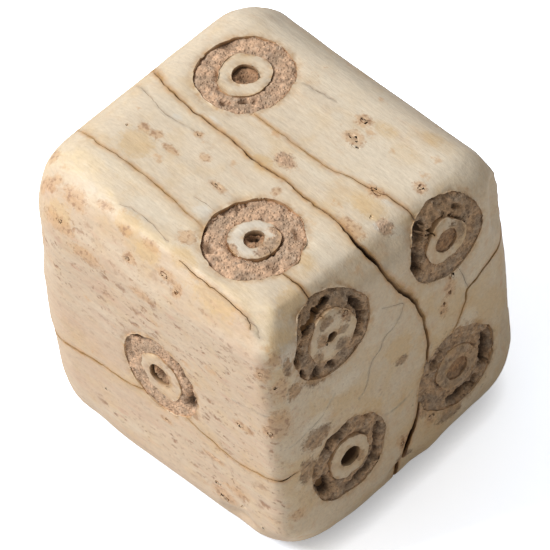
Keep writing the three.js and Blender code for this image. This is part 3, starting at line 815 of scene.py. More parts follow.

# %% [markdown]
# ## Dirt map
# The material needs to know where dirt gathers and where light and shade are painted, so numbers are
# stored on every point of the bone: how deep it lies under the old skin, how near it is to a crack, to a
# hairline and to the rim of a pip, whether it is in the hole of one, how much it faces an end or the
# front, whether it lies on the top front edge, and where stains and painted light lie.
# They could be painted by hand, but measured values stay right when the shape changes. A stain is a
# soft blot at a given place, with a reach along the grain and across it; the material breaks its
# edge up with noise.

# %% Places of the stains and of painted light
# place, reach along the grain (on an end: across the die), and reach across it
STAINS_AND_PAINTED_LIGHT = {
    "soiled": [
        (8.1, -2.6, 14.9, 0.9, 0.4), (8.25, -2.2, 14.1, 0.5, 0.6), (8.25, -4.4, 11.7, 1.1, 0.6),
        (8.25, -2.7, 11.9, 0.6, 0.6), (8.25, 3.0, 5.6, 2.2, 2.4), (8.25, -5.2, 8.1, 0.9, 0.7),
        (8.25, 3.95, 13.75, 0.6, 0.8), (8.2, -5.9, 6.5, 0.6, 0.9), (8.25, -5.9, 11.9, 0.5, 0.6),
        (8.25, -4.05, 13.5, 0.45, 0.5), (8.25, -3.0, 12.5, 0.5, 0.4), (8.25, -4.4, 12.7, 0.4, 0.45),
        (8.25, -2.9, 13.3, 0.35, 0.35), (8.25, -3.6, 14.3, 0.5, 0.3), (8.25, -3.0, 4.9, 0.3, 0.4),
        (8.2, -2.6, 14.0, 0.35, 0.6), (8.2, -6.1, 13.7, 0.3, 0.7), (7.2, 1.0, 15.8, 0.5, 0.4),
        (1.32, 0.6, 16.15, 0.6, 0.36), (8.25, 2.2, 3.2, 0.8, 0.6), (4.5, -3.2, 16.2, 0.5, 0.9),
        (3.4, -4.5, 16.2, 0.5, 0.3), (4.1, -2.4, 16.2, 0.5, 0.4), (8.25, 0.9, 4.6, 0.5, 0.5),
        (0.7, -7.8, 7.2, 0.5, 0.25), (8.25, 0.0, 8.7, 0.4, 0.3), (8.25, -0.6, 2.6, 0.5, 0.5),
    ],
    "brown": [
        (-3.9, -2.2, 16.3, 0.35, 0.25), (-4.6, -2.3, 16.3, 0.35, 0.25), (0.3, -2.45, 16.2, 0.6, 0.2),
        (2.4, -0.9, 16.2, 0.25, 0.25), (-1.3, -1.7, 16.3, 0.3, 0.25), (-2.8, -2.4, 16.3, 0.5, 0.2),
        (0.4, -6.5, 15.9, 0.5, 0.25), (-1.1, -6.6, 15.8, 0.4, 0.3), (-6.6, -6.6, 14.5, 0.4, 0.4),
        (0.5, -7.6, 13.6, 0.8, 0.25), (-4.9, -7.5, 14.2, 1.2, 0.4), (-3.0, -7.6, 13.6, 1.0, 0.4),
        (1.4, 0.5, 16.15, 0.6, 0.35), (-2.5, -1.0, 16.3, 0.25, 0.2), (2.6, 3.5, 16.1, 0.6, 0.4),
        (2.2, 4.5, 16.1, 0.5, 0.35), (6.8, 3.5, 16.0, 0.4, 0.3), (5.6, 2.0, 16.1, 0.6, 0.3),
        (-5.8, -6.4, 15.4, 0.4, 0.25), (-2.8, -6.4, 16.1, 0.7, 0.3), (1.4, -5.3, 16.2, 0.5, 0.4),
        (1.7, -6.9, 15.3, 0.6, 0.25), (2.5, -7.0, 15.0, 0.3, 0.45), (-0.5, -7.1, 14.9, 0.4, 0.3),
        (3.95, -7.7, 5.5, 0.8, 0.2), (5.3, -7.7, 4.1, 0.7, 0.25), (4.3, -7.7, 3.2, 0.8, 0.5),
        (6.2, -7.5, 9.2, 0.6, 0.3), (7.9, -7.2, 10.0, 0.5, 0.5), (7.8, -7.2, 13.7, 0.4, 0.5),
        (8.1, -6.7, 12.8, 0.3, 0.4), (8.1, -6.6, 14.4, 0.4, 0.4), (8.2, -6.8, 4.3, 0.4, 0.4),
        (-4.5, -6.8, 15.6, 0.9, 0.5), (8.25, 1.2, 3.8, 0.5, 0.5), (8.25, -0.6, 3.7, 0.4, 0.5),
        (8.25, 3.2, 10.8, 0.35, 0.6), (8.25, 2.7, 9.8, 0.3, 0.5), (1.0, -7.8, 5.75, 0.5, 0.2),
        (6.3, -0.1, 16.05, 0.9, 0.35), (8.25, 2.0, 4.3, 0.9, 0.6), (8.2, -6.6, 12.6, 0.4, 0.8),
        (8.1, -7.0, 10.4, 0.4, 0.9), (-7.0, -5.6, 15.3, 0.5, 0.4), (-6.2, -6.6, 15.0, 0.9, 0.3),
    ],
    "yellow": [
        (0.65, -0.2, 16.2, 0.6, 0.4), (3.3, 4.75, 16.1, 0.8, 0.4), (5.5, 5.9, 16.0, 1.0, 0.45),
        (4.9, 4.4, 16.1, 1.0, 0.5), (-4.2, -3.2, 16.3, 0.9, 0.8), (0.4, -6.7, 15.6, 0.8, 0.5),
        (-1.2, -6.4, 16.0, 0.8, 0.5), (6.0, 1.2, 16.1, 1.1, 0.5), (5.9, -2.7, 16.1, 0.9, 0.5),
        (7.2, -4.6, 15.8, 0.6, 0.8), (2.1, -6.1, 16.0, 0.8, 0.4), (-5.0, -7.3, 14.6, 0.9, 0.5),
        (4.5, -6.6, 15.5, 1.5, 0.5), (8.0, -6.0, 14.9, 0.5, 0.8), (8.25, 0.0, 9.5, 0.8, 0.9),
        (8.25, 4.5, 13.0, 0.8, 1.2), (8.25, -2.0, 7.0, 0.8, 0.6), (7.6, 4.5, 15.6, 0.6, 1.0),
    ],
    "pale": [
        (2.2, -7.7, 7.4, 0.55, 0.4), (1.1, 3.85, 16.15, 0.35, 0.2), (1.9, -4.65, 16.2, 0.3, 0.3),
        (-4.2, -0.8, 16.3, 1.6, 0.3), (-3.6, -4.6, 16.3, 1.2, 0.35), (1.0, -3.5, 16.2, 0.8, 0.25),
        (-1.0, -5.2, 16.2, 1.4, 0.4), (2.5, 1.1, 16.15, 1.2, 0.35), (6.2, -1.5, 16.1, 0.8, 0.4),
        (7.2, -0.8, 15.8, 0.3, 0.3), (6.6, 0.5, 16.0, 0.3, 0.15), (7.5, 1.3, 15.5, 0.2, 0.4),
        (8.25, 5.4, 14.2, 0.4, 0.5), (8.25, -5.0, 9.0, 0.8, 0.5), (8.25, 3.9, 8.0, 0.6, 0.8),
        (8.25, -3.3, 10.0, 1.0, 0.5), (8.25, 4.6, 10.3, 0.8, 0.4), (0.1, -7.8, 7.4, 0.25, 0.2),
        # the blots at (5.0, 3.4) and (6.9, 5.4) are painted light: they lift the back right of the top, which
        # the lamp leaves darker
        (5.0, 3.4, 16.1, 2.6, 1.6), (0.5, 5.6, 16.2, 3.5, 1.0), (-3.0, 6.0, 16.1, 2.5, 0.8),
        (6.0, -1.8, 16.1, 1.5, 0.8), (6.9, 5.4, 15.9, 1.6, 1.4),
    ],
    "white": [
        (3.4, -3.5, 16.2, 1.2, 1.2), (2.2, -7.7, 7.4, 0.6, 0.45), (-4.0, -0.9, 16.3, 0.35, 0.15),
        (2.2, -2.0, 16.2, 0.3, 0.25), (7.0, 0.75, 15.9, 0.3, 0.2), (0.1, -7.8, 7.5, 0.3, 0.25),
        (1.0, -3.9, 16.25, 0.6, 0.35), (8.1, -5.7, 14.0, 0.6, 0.8), (-2.6, 0.1, 16.3, 0.4, 0.12),
        (6.3, 1.9, 16.0, 0.5, 0.12), (8.25, -4.6, 3.6, 0.4, 0.3), (8.25, 1.4, 5.3, 0.4, 0.4),
    ],
    "specks": [
        (2.5, -7.6, 12.0, 4.5, 2.2), (-3.5, -7.7, 12.5, 3.0, 2.0), (5.5, -7.5, 8.8, 3.0, 3.0),
        (4.0, -7.7, 4.6, 3.5, 1.1), (-2.0, -7.9, 4.0, 1.5, 0.6), (8.0, -6.6, 9.0, 1.0, 5.0),
    ],
}
print({kind: len(stains) for kind, stains in STAINS_AND_PAINTED_LIGHT.items()})

# %% Ways to measure
BLOT_REACH = 2.4
END_X = 8.15
CRACK_REACH = 0.45
WALL_REACH = 0.12
# where the painted highlight along the top front edge lies: how far the normal leans to the front, and how
# wide the band is
RIDGE_TILT = 0.35
RIDGE_WIDTH = 0.22
LOOKS_UP = 0.4
FRONT_FROM, FRONT_OVER = 0.45, 0.25


def stored(obj, name, values):
    obj.data.attributes.new(name, "FLOAT", "POINT").data.foreach_set("value", values)


def blots(points, finder, stains):
    values = [0.0] * len(points)
    for *place, long, wide in stains:
        for point, index, distance in finder.find_range(place, BLOT_REACH * max(long, wide)):
            away = point - Vector(place)
            grain = away.x if abs(place[0]) < END_X else away.y
            off = max(away.length_squared - grain * grain, 0) / wide ** 2 + (grain / long) ** 2
            values[index] = max(values[index], math.exp(-off))
    return values


def front_weight(vertex):
    return ramp(-vertex.normal.y, FRONT_FROM, FRONT_OVER)


# the band along the top front edge, on the side that faces the lamp, which gets a painted highlight
def ridge_highlight_weight(vertex):
    tilt = -vertex.normal.y - RIDGE_TILT
    return math.exp(-(tilt / RIDGE_WIDTH) ** 2) if vertex.normal.z > LOOKS_UP else 0.0


def nearness(points, surface, reach):
    return [math.exp(-(surface.find_nearest(point)[3] / reach) ** 2) for point in points]


print("nearness to a crack falls to", round(math.exp(-1), 2), "at", CRACK_REACH, "mm")

# %% Measure depth and nearness
points = [vertex.co.copy() for vertex in bone.data.vertices]
finder = KDTree(len(points))
for index, point in enumerate(points):
    finder.insert(point, index)
finder.balance()
depths = [skin.find_nearest(point)[3] for point in points]
stored(bone, "depth", depths)
stored(bone, "crack", nearness(points, crack_walls, CRACK_REACH))
stored(bone, "crack wall", nearness(points, crack_walls, WALL_REACH))
stored(bone, "hairline", nearness(points, hair_walls, WALL_REACH))
stored(bone, "rim", [rim_nearness(point) for point in points])
stored(bone, "hole", [hole_weight(point) for point in points])
for name, weight_of in (("end", end_weight), ("front", front_weight), ("ridge", ridge_highlight_weight)):
    stored(bone, name, [weight_of(vertex) for vertex in bone.data.vertices])
for kind, stains in STAINS_AND_PAINTED_LIGHT.items():
    stored(bone, kind, blots(points, finder, stains))
print("deepest point", round(max(depths), 2), "mm under the skin")

# %% [markdown]
# Now the bone leaves the bench. It is shaded smooth except at real edges, shrunk to metres, and takes
# the place of the plain block in the solid model.

# %% Finish the bone's mesh
# in degrees: where the surface turns by more, it keeps an edge
BONE_EDGE = 40

only(bone)
bpy.ops.object.shade_smooth_by_angle(angle=math.radians(BONE_EDGE))
to_metres(bone)
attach(bone, "root")
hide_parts("die_body")
print("bone:", triangles(bone), "triangles,", len(bone.data.attributes), "attributes")

# %% [markdown]
# ## Soil in the pips
# Burial has packed the grooves with fine gritty soil. Thousands of separate grains would be heavy, so
# each fill of the solid model is copied, merged, remeshed finely and pressed into its walls. In places
# the soil has fallen out and left a dark hollow, so there the fill is pushed back inwards. No fill
# stands above the worn skin of the bone, so points that do are put back under it, and only then does
# noise turn the top into a field of grains.

# %% Where the soil has gone
# how far the soil is pressed into the walls, and how far its top is then let down again
PRESSED = {
    "ring": (0.22, 0.16), "dot": (0.44, 0.24),
    "ring_fill_four_a": (0.26, 0.17), "ring_fill_four_b": (0.36, 0.24), "ring_fill_four_c": (0.28, 0.17),
    "ring_fill_four_d": (0.26, 0.18), "ring_fill_one_a": (0.26, 0.08),
    "dot_fill_four_a": (0.30, 0.70), "dot_fill_four_b": (0.50, 0.04), "dot_fill_four_c": (0.50, 0.02),
    "dot_fill_four_d": (0.34, 0.50), "dot_fill_two_b": (0.44, 0.12), "dot_fill_two_a": (0.44, 0.14),
    "dot_fill_one_a": (0.44, 0.10),
}
# the two ends of a hollow, its radius, and how far the soil has gone there
HOLLOWS = [
    ((7.75, -3.1, 15.1), (7.85, -3.95, 14.9), 0.17, 0.7),
    ((7.85, -3.95, 14.9), (8.05, -4.65, 14.6), 0.18, 0.8),
    ((8.05, -4.65, 14.6), (8.2, -5.2, 14.2), 0.18, 0.8), ((8.2, -5.2, 14.2), (8.25, -5.5, 13.1), 0.18, 0.8),
    ((8.2, -2.0, 14.3), (8.2, -1.8, 13.6), 0.28, 0.45), ((8.25, -1.85, 13.1), (8.25, -2.2, 12.4), 0.34, 0.6),
    ((8.25, -2.0, 14.1), (8.25, -1.95, 14.0), 0.22, 0.8),
    ((8.25, -3.85, 11.75), (8.25, -3.7, 11.6), 0.2, 0.5), ((8.25, -4.6, 11.9), (8.25, -4.8, 11.5), 0.26, 0.6),
    ((8.25, -5.3, 12.4), (8.25, -5.4, 12.1), 0.2, 0.6), ((7.94, 2.1, 15.0), (8.1, 2.8, 14.55), 0.11, 0.9),
    ((8.0, 2.3, 15.2), (8.1, 1.7, 14.5), 0.35, 0.4), ((8.2, 1.6, 14.4), (8.2, 1.6, 13.2), 0.42, 0.6),
    ((8.2, 2.8, 12.1), (8.2, 3.3, 12.0), 0.2, 0.4), ((8.2, 4.3, 12.4), (8.2, 4.5, 12.6), 0.15, 0.3),
    ((8.1, 4.6, 14.9), (8.1, 4.3, 15.0), 0.18, 0.3), ((8.2, 5.0, 6.2), (8.2, 4.7, 4.7), 0.38, 0.75),
    ((8.2, 3.9, 3.9), (8.2, 2.5, 3.8), 0.34, 0.6), ((8.2, 2.2, 7.2), (8.2, 1.9, 6.8), 0.3, 0.5),
    ((8.2, 3.4, 7.3), (8.2, 3.7, 7.2), 0.2, 0.3), ((8.2, -4.9, 6.9), (8.2, -3.5, 7.35), 0.34, 0.55),
    ((8.2, -5.3, 5.0), (8.2, -5.0, 4.4), 0.42, 0.7), ((8.2, -1.7, 5.8), (8.2, -2.2, 4.1), 0.25, 0.5),
    ((8.2, -2.6, 3.8), (8.2, -3.8, 3.5), 0.25, 0.45), ((8.2, -5.6, 6.0), (8.2, -5.5, 5.6), 0.22, 0.4),
    ((8.2, -2.1, 6.9), (8.2, -2.4, 7.0), 0.2, 0.35), ((8.2, -3.75, 5.8), (8.2, -3.7, 5.3), 0.34, 0.6),
    ((2.1, -7.6, 10.4), (2.9, -7.6, 9.3), 0.3, 0.45), ((2.9, -7.6, 8.6), (2.7, -7.6, 7.9), 0.38, 0.5),
    ((0.4, -7.7, 10.7), (-0.4, -7.8, 10.4), 0.3, 0.4), ((-1.0, -7.8, 9.6), (-1.0, -7.8, 8.8), 0.3, 0.3),
    ((0.9, -7.7, 8.9), (1.0, -7.7, 8.5), 0.3, 0.25), ((-5.7, 3.5, 16.2), (-5.5, 3.6, 16.2), 0.4, 0.15),
    ((-2.6, 1.8, 16.2), (-2.3, 2.0, 16.2), 0.2, 0.3), ((-3.0, 1.2, 16.2), (-3.2, 1.1, 16.2), 0.2, 0.25),
    ((-3.65, 2.8, 16.2), (-3.5, 2.8, 16.2), 0.25, 0.15), ((1.8, -2.3, 16.2), (1.45, -3.2, 16.2), 0.22, 0.3),
    ((1.5, -3.6, 16.2), (1.5, -4.0, 16.2), 0.16, 0.25), ((5.6, -4.0, 16.1), (5.5, -3.8, 16.1), 0.3, 0.15),
    ((3.45, -3.3, 16.2), (3.5, -3.2, 16.2), 0.22, 0.35), ((4.7, -1.9, 16.1), (4.9, -2.0, 16.1), 0.18, 0.2),
    ((2.3, -4.9, 16.2), (2.6, -5.1, 16.2), 0.18, 0.2),
]
print(len(HOLLOWS), "hollows in the soil")

# %% Press the soil down
HOLLOW_REACH = 2.5
HOLLOW_RAGGED, HOLLOW_WAVES = 0.6, 3.3


def hollow_weight(vertex, into_pip, let_down):
    facing = ramp((into_pip.to_3x3() @ vertex.normal).z, 0, 0.5)
    gone = let_down
    for start, end, radius, sunk in HOLLOWS:
        away = gap_to_line(vertex.co, start, end) / radius
        if away < HOLLOW_REACH:
            away = max(0.0, away + HOLLOW_RAGGED * noise.noise(vertex.co * HOLLOW_WAVES))
            gone = max(gone, let_down + sunk * math.exp(-away ** 4))
    return gone * facing


def kept_under(soil, surface, margin):
    for vertex in soil.data.vertices:
        place, normal, index, distance = surface.find_nearest(vertex.co)
        rise = (vertex.co - place).dot(normal) + margin
        if rise > 0:
            vertex.co -= normal * rise


print("a hollow is felt as far as", HOLLOW_REACH, "of its radii")

# %% Soil
SOIL_VOXEL = 0.085
SOIL_UNDER = 0.10
SOIL_LUMPS = 0.16
SOIL_GRAINS = 0.13
SOIL_EDGE = 60
SAME_POINT = 0.0005


def soil_piece(fill, kind, face, into_pip):
    only(bpy.data.objects[fill])
    bpy.ops.object.duplicate()
    soil = added(fill + "_grains")
    placed(soil, Matrix.Translation(-MIDDLE_SHIFT) @ Matrix.Scale(1 / MM, 4))
    bpy.ops.object.mode_set(mode="EDIT")
    bpy.ops.mesh.select_all(action="SELECT")
    bpy.ops.mesh.remove_doubles(threshold=SAME_POINT)
    bpy.ops.object.mode_set(mode="OBJECT")
    finish_with(soil, "REMESH", mode="VOXEL", voxel_size=SOIL_VOXEL)
    spread, let_down = PRESSED.get(fill, PRESSED[kind])
    finish_with(soil, "DISPLACE", strength=spread, mid_level=0.0)
    weighted(soil, "hollow", lambda vertex: hollow_weight(vertex, into_pip, let_down))
    finish_with(soil, "DISPLACE", strength=-1.0, mid_level=0.0, vertex_group="hollow")
    kept_under(soil, skin, SOIL_UNDER)
    displaced(soil, SOIL_LUMPS, (0.7, 0.7, 0.7), 1)
    displaced(soil, SOIL_GRAINS, (0.2, 0.2, 0.2), 1)
    stored(soil, "depth", [skin.find_nearest(vertex.co)[3] for vertex in soil.data.vertices])
    stored(soil, "end", [1.0 if face in ("left", "right") else 0.0] * len(soil.data.vertices))
    only(soil)
    bpy.ops.object.shade_smooth_by_angle(angle=math.radians(SOIL_EDGE))
    return to_metres(soil)


soils = []
for (name, face, *_), (into_pip, _) in zip(PIPS, pip_views):
    for kind in ("ring", "dot"):
        fill = f"{kind}_fill_{name}"
        soil = soil_piece(fill, kind, face, into_pip)
        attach(soil, "root")
        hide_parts(fill)
        soils.append(soil)
print("soil pieces:", len(soils), "with", sum(triangles(soil) for soil in soils), "triangles")

# %% [markdown]
# ## Shader helpers
# The materials are sums of many small steps, so each kind of step gets a helper. All patterns are laid
# out in millimetres, so the object coordinates are scaled up first. A shader node group is a helper
# that Blender itself knows: it is built once, and each material places it with its own values.

# %% Node helpers
PER_METRE = (1000, 1000, 1000)


def new_group(name, inputs, outputs):
    group = bpy.data.node_groups.new(name, "ShaderNodeTree")
    for label, (kind, value) in inputs.items():
        socket = group.interface.new_socket(label, in_out="INPUT", socket_type="NodeSocket" + kind)
        if value is not None:
            socket.default_value = value
    for label, kind in outputs.items():
        group.interface.new_socket(label, in_out="OUTPUT", socket_type="NodeSocket" + kind)
    return group, group.nodes.new("NodeGroupInput").outputs, group.nodes.new("NodeGroupOutput").inputs


def placed_group(tree, group, inputs):
    return node(tree, "Group", inputs, node_tree=group)


def math_node(tree, operation, first, second):
    return node(tree, "Math", {0: first, 1: second}, operation=operation).outputs[0]


def larger(tree, first, second):
    return math_node(tree, "MAXIMUM", first, second)


def mixed(tree, share, first, second, blend="MIX"):
    inputs = {"Fac": share, "Color1": first, "Color2": second}
    return node(tree, "MixRGB", inputs, blend_type=blend).outputs[0]


def shaded(tree, colour, light):
    grey = node(tree, "CombineXYZ", {0: light, 1: light, 2: light}).outputs[0]
    return mixed(tree, 1.0, colour, grey, "MULTIPLY")


def ranged(tree, value, low, high, to_low=0.0, to_high=1.0):
    inputs = {"Value": value, "From Min": low, "From Max": high, "To Min": to_low, "To Max": to_high}
    return node(tree, "MapRange", inputs).outputs[0]


def stored_value(tree, name):
    return node(tree, "Attribute", attribute_name=name).outputs["Fac"]


def in_millimetres(tree):
    place = node(tree, "TexCoord").outputs["Object"]
    return node(tree, "Mapping", {"Vector": place, "Scale": PER_METRE}).outputs[0]


print("patterns are laid out with", PER_METRE[0], "units to the metre")

# %% [markdown]
# Two effects are used again and again. Patches are noise, stretched along the grain, cut off softly
# between two values: they give mottling, streaks and pale bands. Flecks are ragged dots of random size,
# one in each cell of a Voronoi pattern: they give pores, specks of dirt and grains.

# %% Patches
STEADY = (1, 1, 1)
patches, given, result = new_group(
    "patches",
    {"Vector": ("Vector", None), "Stretch": ("Vector", STEADY), "Scale": ("Float", 1.0),
     "Detail": ("Float", 2.0), "Low": ("Float", 0.5), "High": ("Float", 0.7)},
    {"Mask": "Float"})
stretched = node(patches, "VectorMath", {0: given["Vector"], 1: given["Stretch"]}, operation="MULTIPLY")
cloud = node(patches, "TexNoise", {"Vector": stretched.outputs[0], "Scale": given["Scale"],
                                   "Detail": given["Detail"], "Roughness": 0.6})
mask = ranged(patches, cloud.outputs["Fac"], given["Low"], given["High"])
patches.links.new(mask, result["Mask"])
print("patches:", len(patches.nodes), "nodes")

# %% Flecks
flecks, given, result = new_group(
    "flecks",
    {"Vector": ("Vector", None), "Stretch": ("Vector", STEADY), "Scale": ("Float", 2.0),
     "Size": ("Float", 0.3), "Share": ("Float", 0.5)},
    {"Mask": "Float"})
stretched = node(flecks, "VectorMath", {0: given["Vector"], 1: given["Stretch"]}, operation="MULTIPLY")
ragged = node(flecks, "TexNoise", {"Vector": given["Vector"], "Scale": 4.0, "Detail": 4.0})
shaken = node(flecks, "VectorMath", {0: ragged.outputs["Color"], 1: (0.45, 0.45, 0.45),
                                     2: stretched.outputs[0]}, operation="MULTIPLY_ADD")
cells = node(flecks, "TexVoronoi", {"Vector": shaken.outputs[0], "Scale": given["Scale"]})
tone = node(flecks, "SeparateColor", {"Color": cells.outputs["Color"]})
chosen = math_node(flecks, "LESS_THAN", tone.outputs["Red"], given["Share"])
reach = math_node(flecks, "MULTIPLY", tone.outputs["Green"], given["Size"])
blob = ranged(flecks, cells.outputs["Distance"], reach, math_node(flecks, "MULTIPLY", reach, 0.45))
flecks.links.new(math_node(flecks, "MULTIPLY", blob, chosen), result["Mask"])
print("flecks:", len(flecks.nodes), "nodes")

# %% [markdown]
# Grit is the look of the packed soil: tan and grey clouds, lighter and darker grains, dark specks
# between them. The soil pieces wear it all over, and the bone wears it where soil is smeared on it.

# %% Grit
grit, given, result = new_group(
    "grit",
    {"Vector": ("Vector", None), "Darkness": ("Float", 0.5), "Warm": ("Color", None),
     "Grey": ("Color", None), "Dark": ("Color", None), "Pale": ("Color", None)},
    {"Color": "Color", "Height": "Float"})
at = given["Vector"]
clouds = placed_group(grit, patches, {"Vector": at, "Scale": 1.1, "Detail": 3.0, "Low": 0.42, "High": 0.60})
ground = mixed(grit, clouds.outputs[0], given["Warm"], given["Grey"])
lumps = placed_group(grit, patches, {"Vector": at, "Scale": 2.6, "Detail": 3.0, "Low": 0.50, "High": 0.68})
ground = mixed(grit, math_node(grit, "MULTIPLY", lumps.outputs[0], 0.55), ground, given["Dark"])
grains = node(grit, "TexVoronoi", {"Vector": at, "Scale": 7.5})
grain_tone = node(grit, "SeparateColor", {"Color": grains.outputs["Color"]})
toned = shaded(grit, ground, ranged(grit, grain_tone.outputs["Red"], 0.0, 1.0, 0.74, 1.24))
dusty = placed_group(grit, patches, {"Vector": at, "Scale": 3.6, "Detail": 3.0, "Low": 0.55, "High": 0.70})
toned = mixed(grit, math_node(grit, "MULTIPLY", dusty.outputs[0], 0.45), toned, given["Pale"])
holes = placed_group(grit, flecks, {"Vector": at, "Scale": 3.2, "Size": 0.44, "Share": 0.40})
dark = math_node(grit, "MULTIPLY", holes.outputs[0], given["Darkness"])
toned = mixed(grit, dark, toned, given["Dark"])
bumps = math_node(grit, "SUBTRACT", ranged(grit, grains.outputs["Distance"], 0.5, 0.0), dark)
grit.links.new(toned, result["Color"])
grit.links.new(bumps, result["Height"])
print("grit:", len(grit.nodes), "nodes")

# %% [markdown]
# ## Bone material
# Old bone is cream, warmer and pinker on the front than on top. It is built up as it came about, coat
# over coat: the clean bone first, with a painted highlight on its top front edge, then its mottling
# and grain, then the stains and specks of burial, and last the brown of everything that lies under the
# old skin, which turns near black where it is deepest: dark dirt and painted shade. A coat is a colour
# and the masks and strengths that are multiplied to say where it shows.

# %% Colours of bone and dirt
CREAM_TOP = (0.755, 0.632, 0.478, 1)
CREAM_FRONT = (0.658, 0.503, 0.356, 1)
# lighter, yellower cream for the top front edge: partly yellowed bone, partly a painted highlight
RIDGE_CREAM_AND_HIGHLIGHT = (0.790, 0.620, 0.385, 1)
CREAM_END = (0.700, 0.565, 0.400, 1)
YELLOW = (0.680, 0.455, 0.205, 1)
ORANGE = (0.620, 0.360, 0.170, 1)
PINK = (0.600, 0.390, 0.270, 1)
PALE = (0.790, 0.690, 0.540, 1)
GREY = (0.480, 0.420, 0.340, 1)
WHITE = (0.760, 0.720, 0.640, 1)
SPECK = (0.360, 0.195, 0.110, 1)
OCHRE = (0.420, 0.235, 0.075, 1)
SMOKE = (0.300, 0.250, 0.195, 1)
RIM = (0.540, 0.340, 0.175, 1)
WALL = (0.400, 0.215, 0.085, 1)
# near black for the deepest places, crack insides and pip holes: dark dirt and painted shade
DEEP_DIRT_AND_SHADE = (0.060, 0.030, 0.013, 1)

TOP_SOIL = {
    "Warm": (0.640, 0.415, 0.265, 1), "Grey": (0.480, 0.330, 0.220, 1),
    "Dark": (0.230, 0.130, 0.080, 1), "Pale": (0.720, 0.560, 0.420, 1),
}
END_SOIL = {
    "Warm": (0.490, 0.310, 0.175, 1), "Grey": (0.350, 0.245, 0.160, 1),
    "Dark": (0.110, 0.062, 0.032, 1), "Pale": (0.600, 0.470, 0.340, 1),
}

# the deepest colour printed here is dark dirt and painted shade
print("clean bone on top is", CREAM_TOP[:3], "and the deepest dirt", DEEP_DIRT_AND_SHADE[:3])

# %% Steps of the bone material
bone_finish = bpy.data.materials.new("old_bone")
bone_finish.use_nodes = True
tree = bone_finish.node_tree
shader = tree.nodes["Principled BSDF"]
at = in_millimetres(tree)
front = stored_value(tree, "front")
end = stored_value(tree, "end")
crack_near = stored_value(tree, "crack")
under = stored_value(tree, "depth")
LONG = (0.22, 1, 1)
LONGER = (0.10, 1, 1)


def patch(scale, low, high, stretch=STEADY, detail=3.0):
    return placed_group(tree, patches, {"Vector": at, "Stretch": stretch, "Scale": scale,
                                        "Detail": detail, "Low": low, "High": high}).outputs[0]


def fleck(scale, size, share, stretch):
    return placed_group(tree, flecks, {"Vector": at, "Stretch": stretch, "Scale": scale, "Size": size,
                                       "Share": share}).outputs[0]


def times(*values):
    product = values[0]
    for value in values[1:]:
        product = math_node(tree, "MULTIPLY", product, value)
    return product


def coated(colour, *coats):
    for paint, *shares in coats:
        colour = mixed(tree, times(*shares), colour, paint)
    return colour


def ragged_stain(name, scale=3.0, low=0.25, high=0.6):
    stain = stored_value(tree, name)
    cloud = math_node(tree, "ADD", patch(scale, 0.3, 0.7), times(patch(3.2 * scale, 0.3, 0.7), 0.8))
    sum_of_both = math_node(tree, "ADD", stain, ranged(tree, cloud, 0, 1.8, -0.32, 0.32))
    return times(ranged(tree, sum_of_both, low, high), ranged(tree, stain, 0.02, 0.12))


print("bone material begun:", len(tree.nodes), "nodes")

# %% Clean bone, with a painted highlight on the top front edge
# the top front edge is lighter and yellower: partly yellowed bone, partly a painted highlight where the lamp
# catches it
ridge = times(stored_value(tree, "ridge"), patch(1.2, 0.30, 0.60, (0.5, 1, 1)))
colour = coated(
    mixed(tree, front, CREAM_TOP, CREAM_FRONT),
    (CREAM_END, end),
    (YELLOW, patch(0.55, 0.50, 0.72), 0.40),
    (PALE, patch(0.9, 0.52, 0.74, LONG), 0.45),
    (ORANGE, patch(2.4, 0.54, 0.74, LONG), 0.22),
    (PINK, patch(0.8, 0.50, 0.72, LONG), front, 0.42),
    (GREY, patch(5.0, 0.56, 0.72, LONGER, 2.0), 0.16),
    (YELLOW, patch(0.42, 0.50, 0.64), end, 0.45),
    (ORANGE, patch(1.5, 0.54, 0.70), end, 0.35),
    (PALE, patch(1.1, 0.55, 0.72), end, 0.40),
    (RIDGE_CREAM_AND_HIGHLIGHT, ridge, 0.85),
    (YELLOW, ragged_stain("yellow"), 0.50),
    # pale blots: most are real pale bone, two are painted light on the back right of the top
    (PALE, ragged_stain("pale"), 0.55),
    (WHITE, ragged_stain("white", 2.4), 0.50),
)
print("clean bone:", len(tree.nodes), "nodes")

# %% [markdown]
# Specks and streaks lie along the grain, thickest on the front. Along the cracks the bone is yellowed,
# and the bone right beside them is brown.

# %% Specks, streaks and stains
specks = stored_value(tree, "specks")
dense = times(patch(0.9, 0.34, 0.56), ranged(tree, specks, 0.0, 0.5, 0.25, 1.0))
streaks = times(patch(4.2, 0.55, 0.68, LONG), dense, ranged(tree, front, 0, 1, 0.22, 0.85))
dashes = larger(tree, fleck(1.9, 0.46, 0.80, (0.5, 1, 1)), fleck(3.8, 0.50, 0.85, (0.45, 1, 1)))
dashes = times(dashes, dense, ranged(tree, front, 0, 1, 0.30, 1.0))
pores = times(fleck(6.0, 0.46, 0.70, (0.6, 1, 1)), patch(1.3, 0.38, 0.56))
pores = times(pores, ranged(tree, front, 0, 1, 0.35, 0.90), ranged(tree, specks, 0.0, 0.6, 0.35, 1.0))
blotches = times(fleck(1.1, 0.36, 0.55, (0.6, 1, 1)), patch(3.0, 0.40, 0.56))
crack_wall = stored_value(tree, "crack wall")
hair = ranged(tree, stored_value(tree, "hairline"), 0.4, 1.0)
brown = ragged_stain("brown", 3.5)
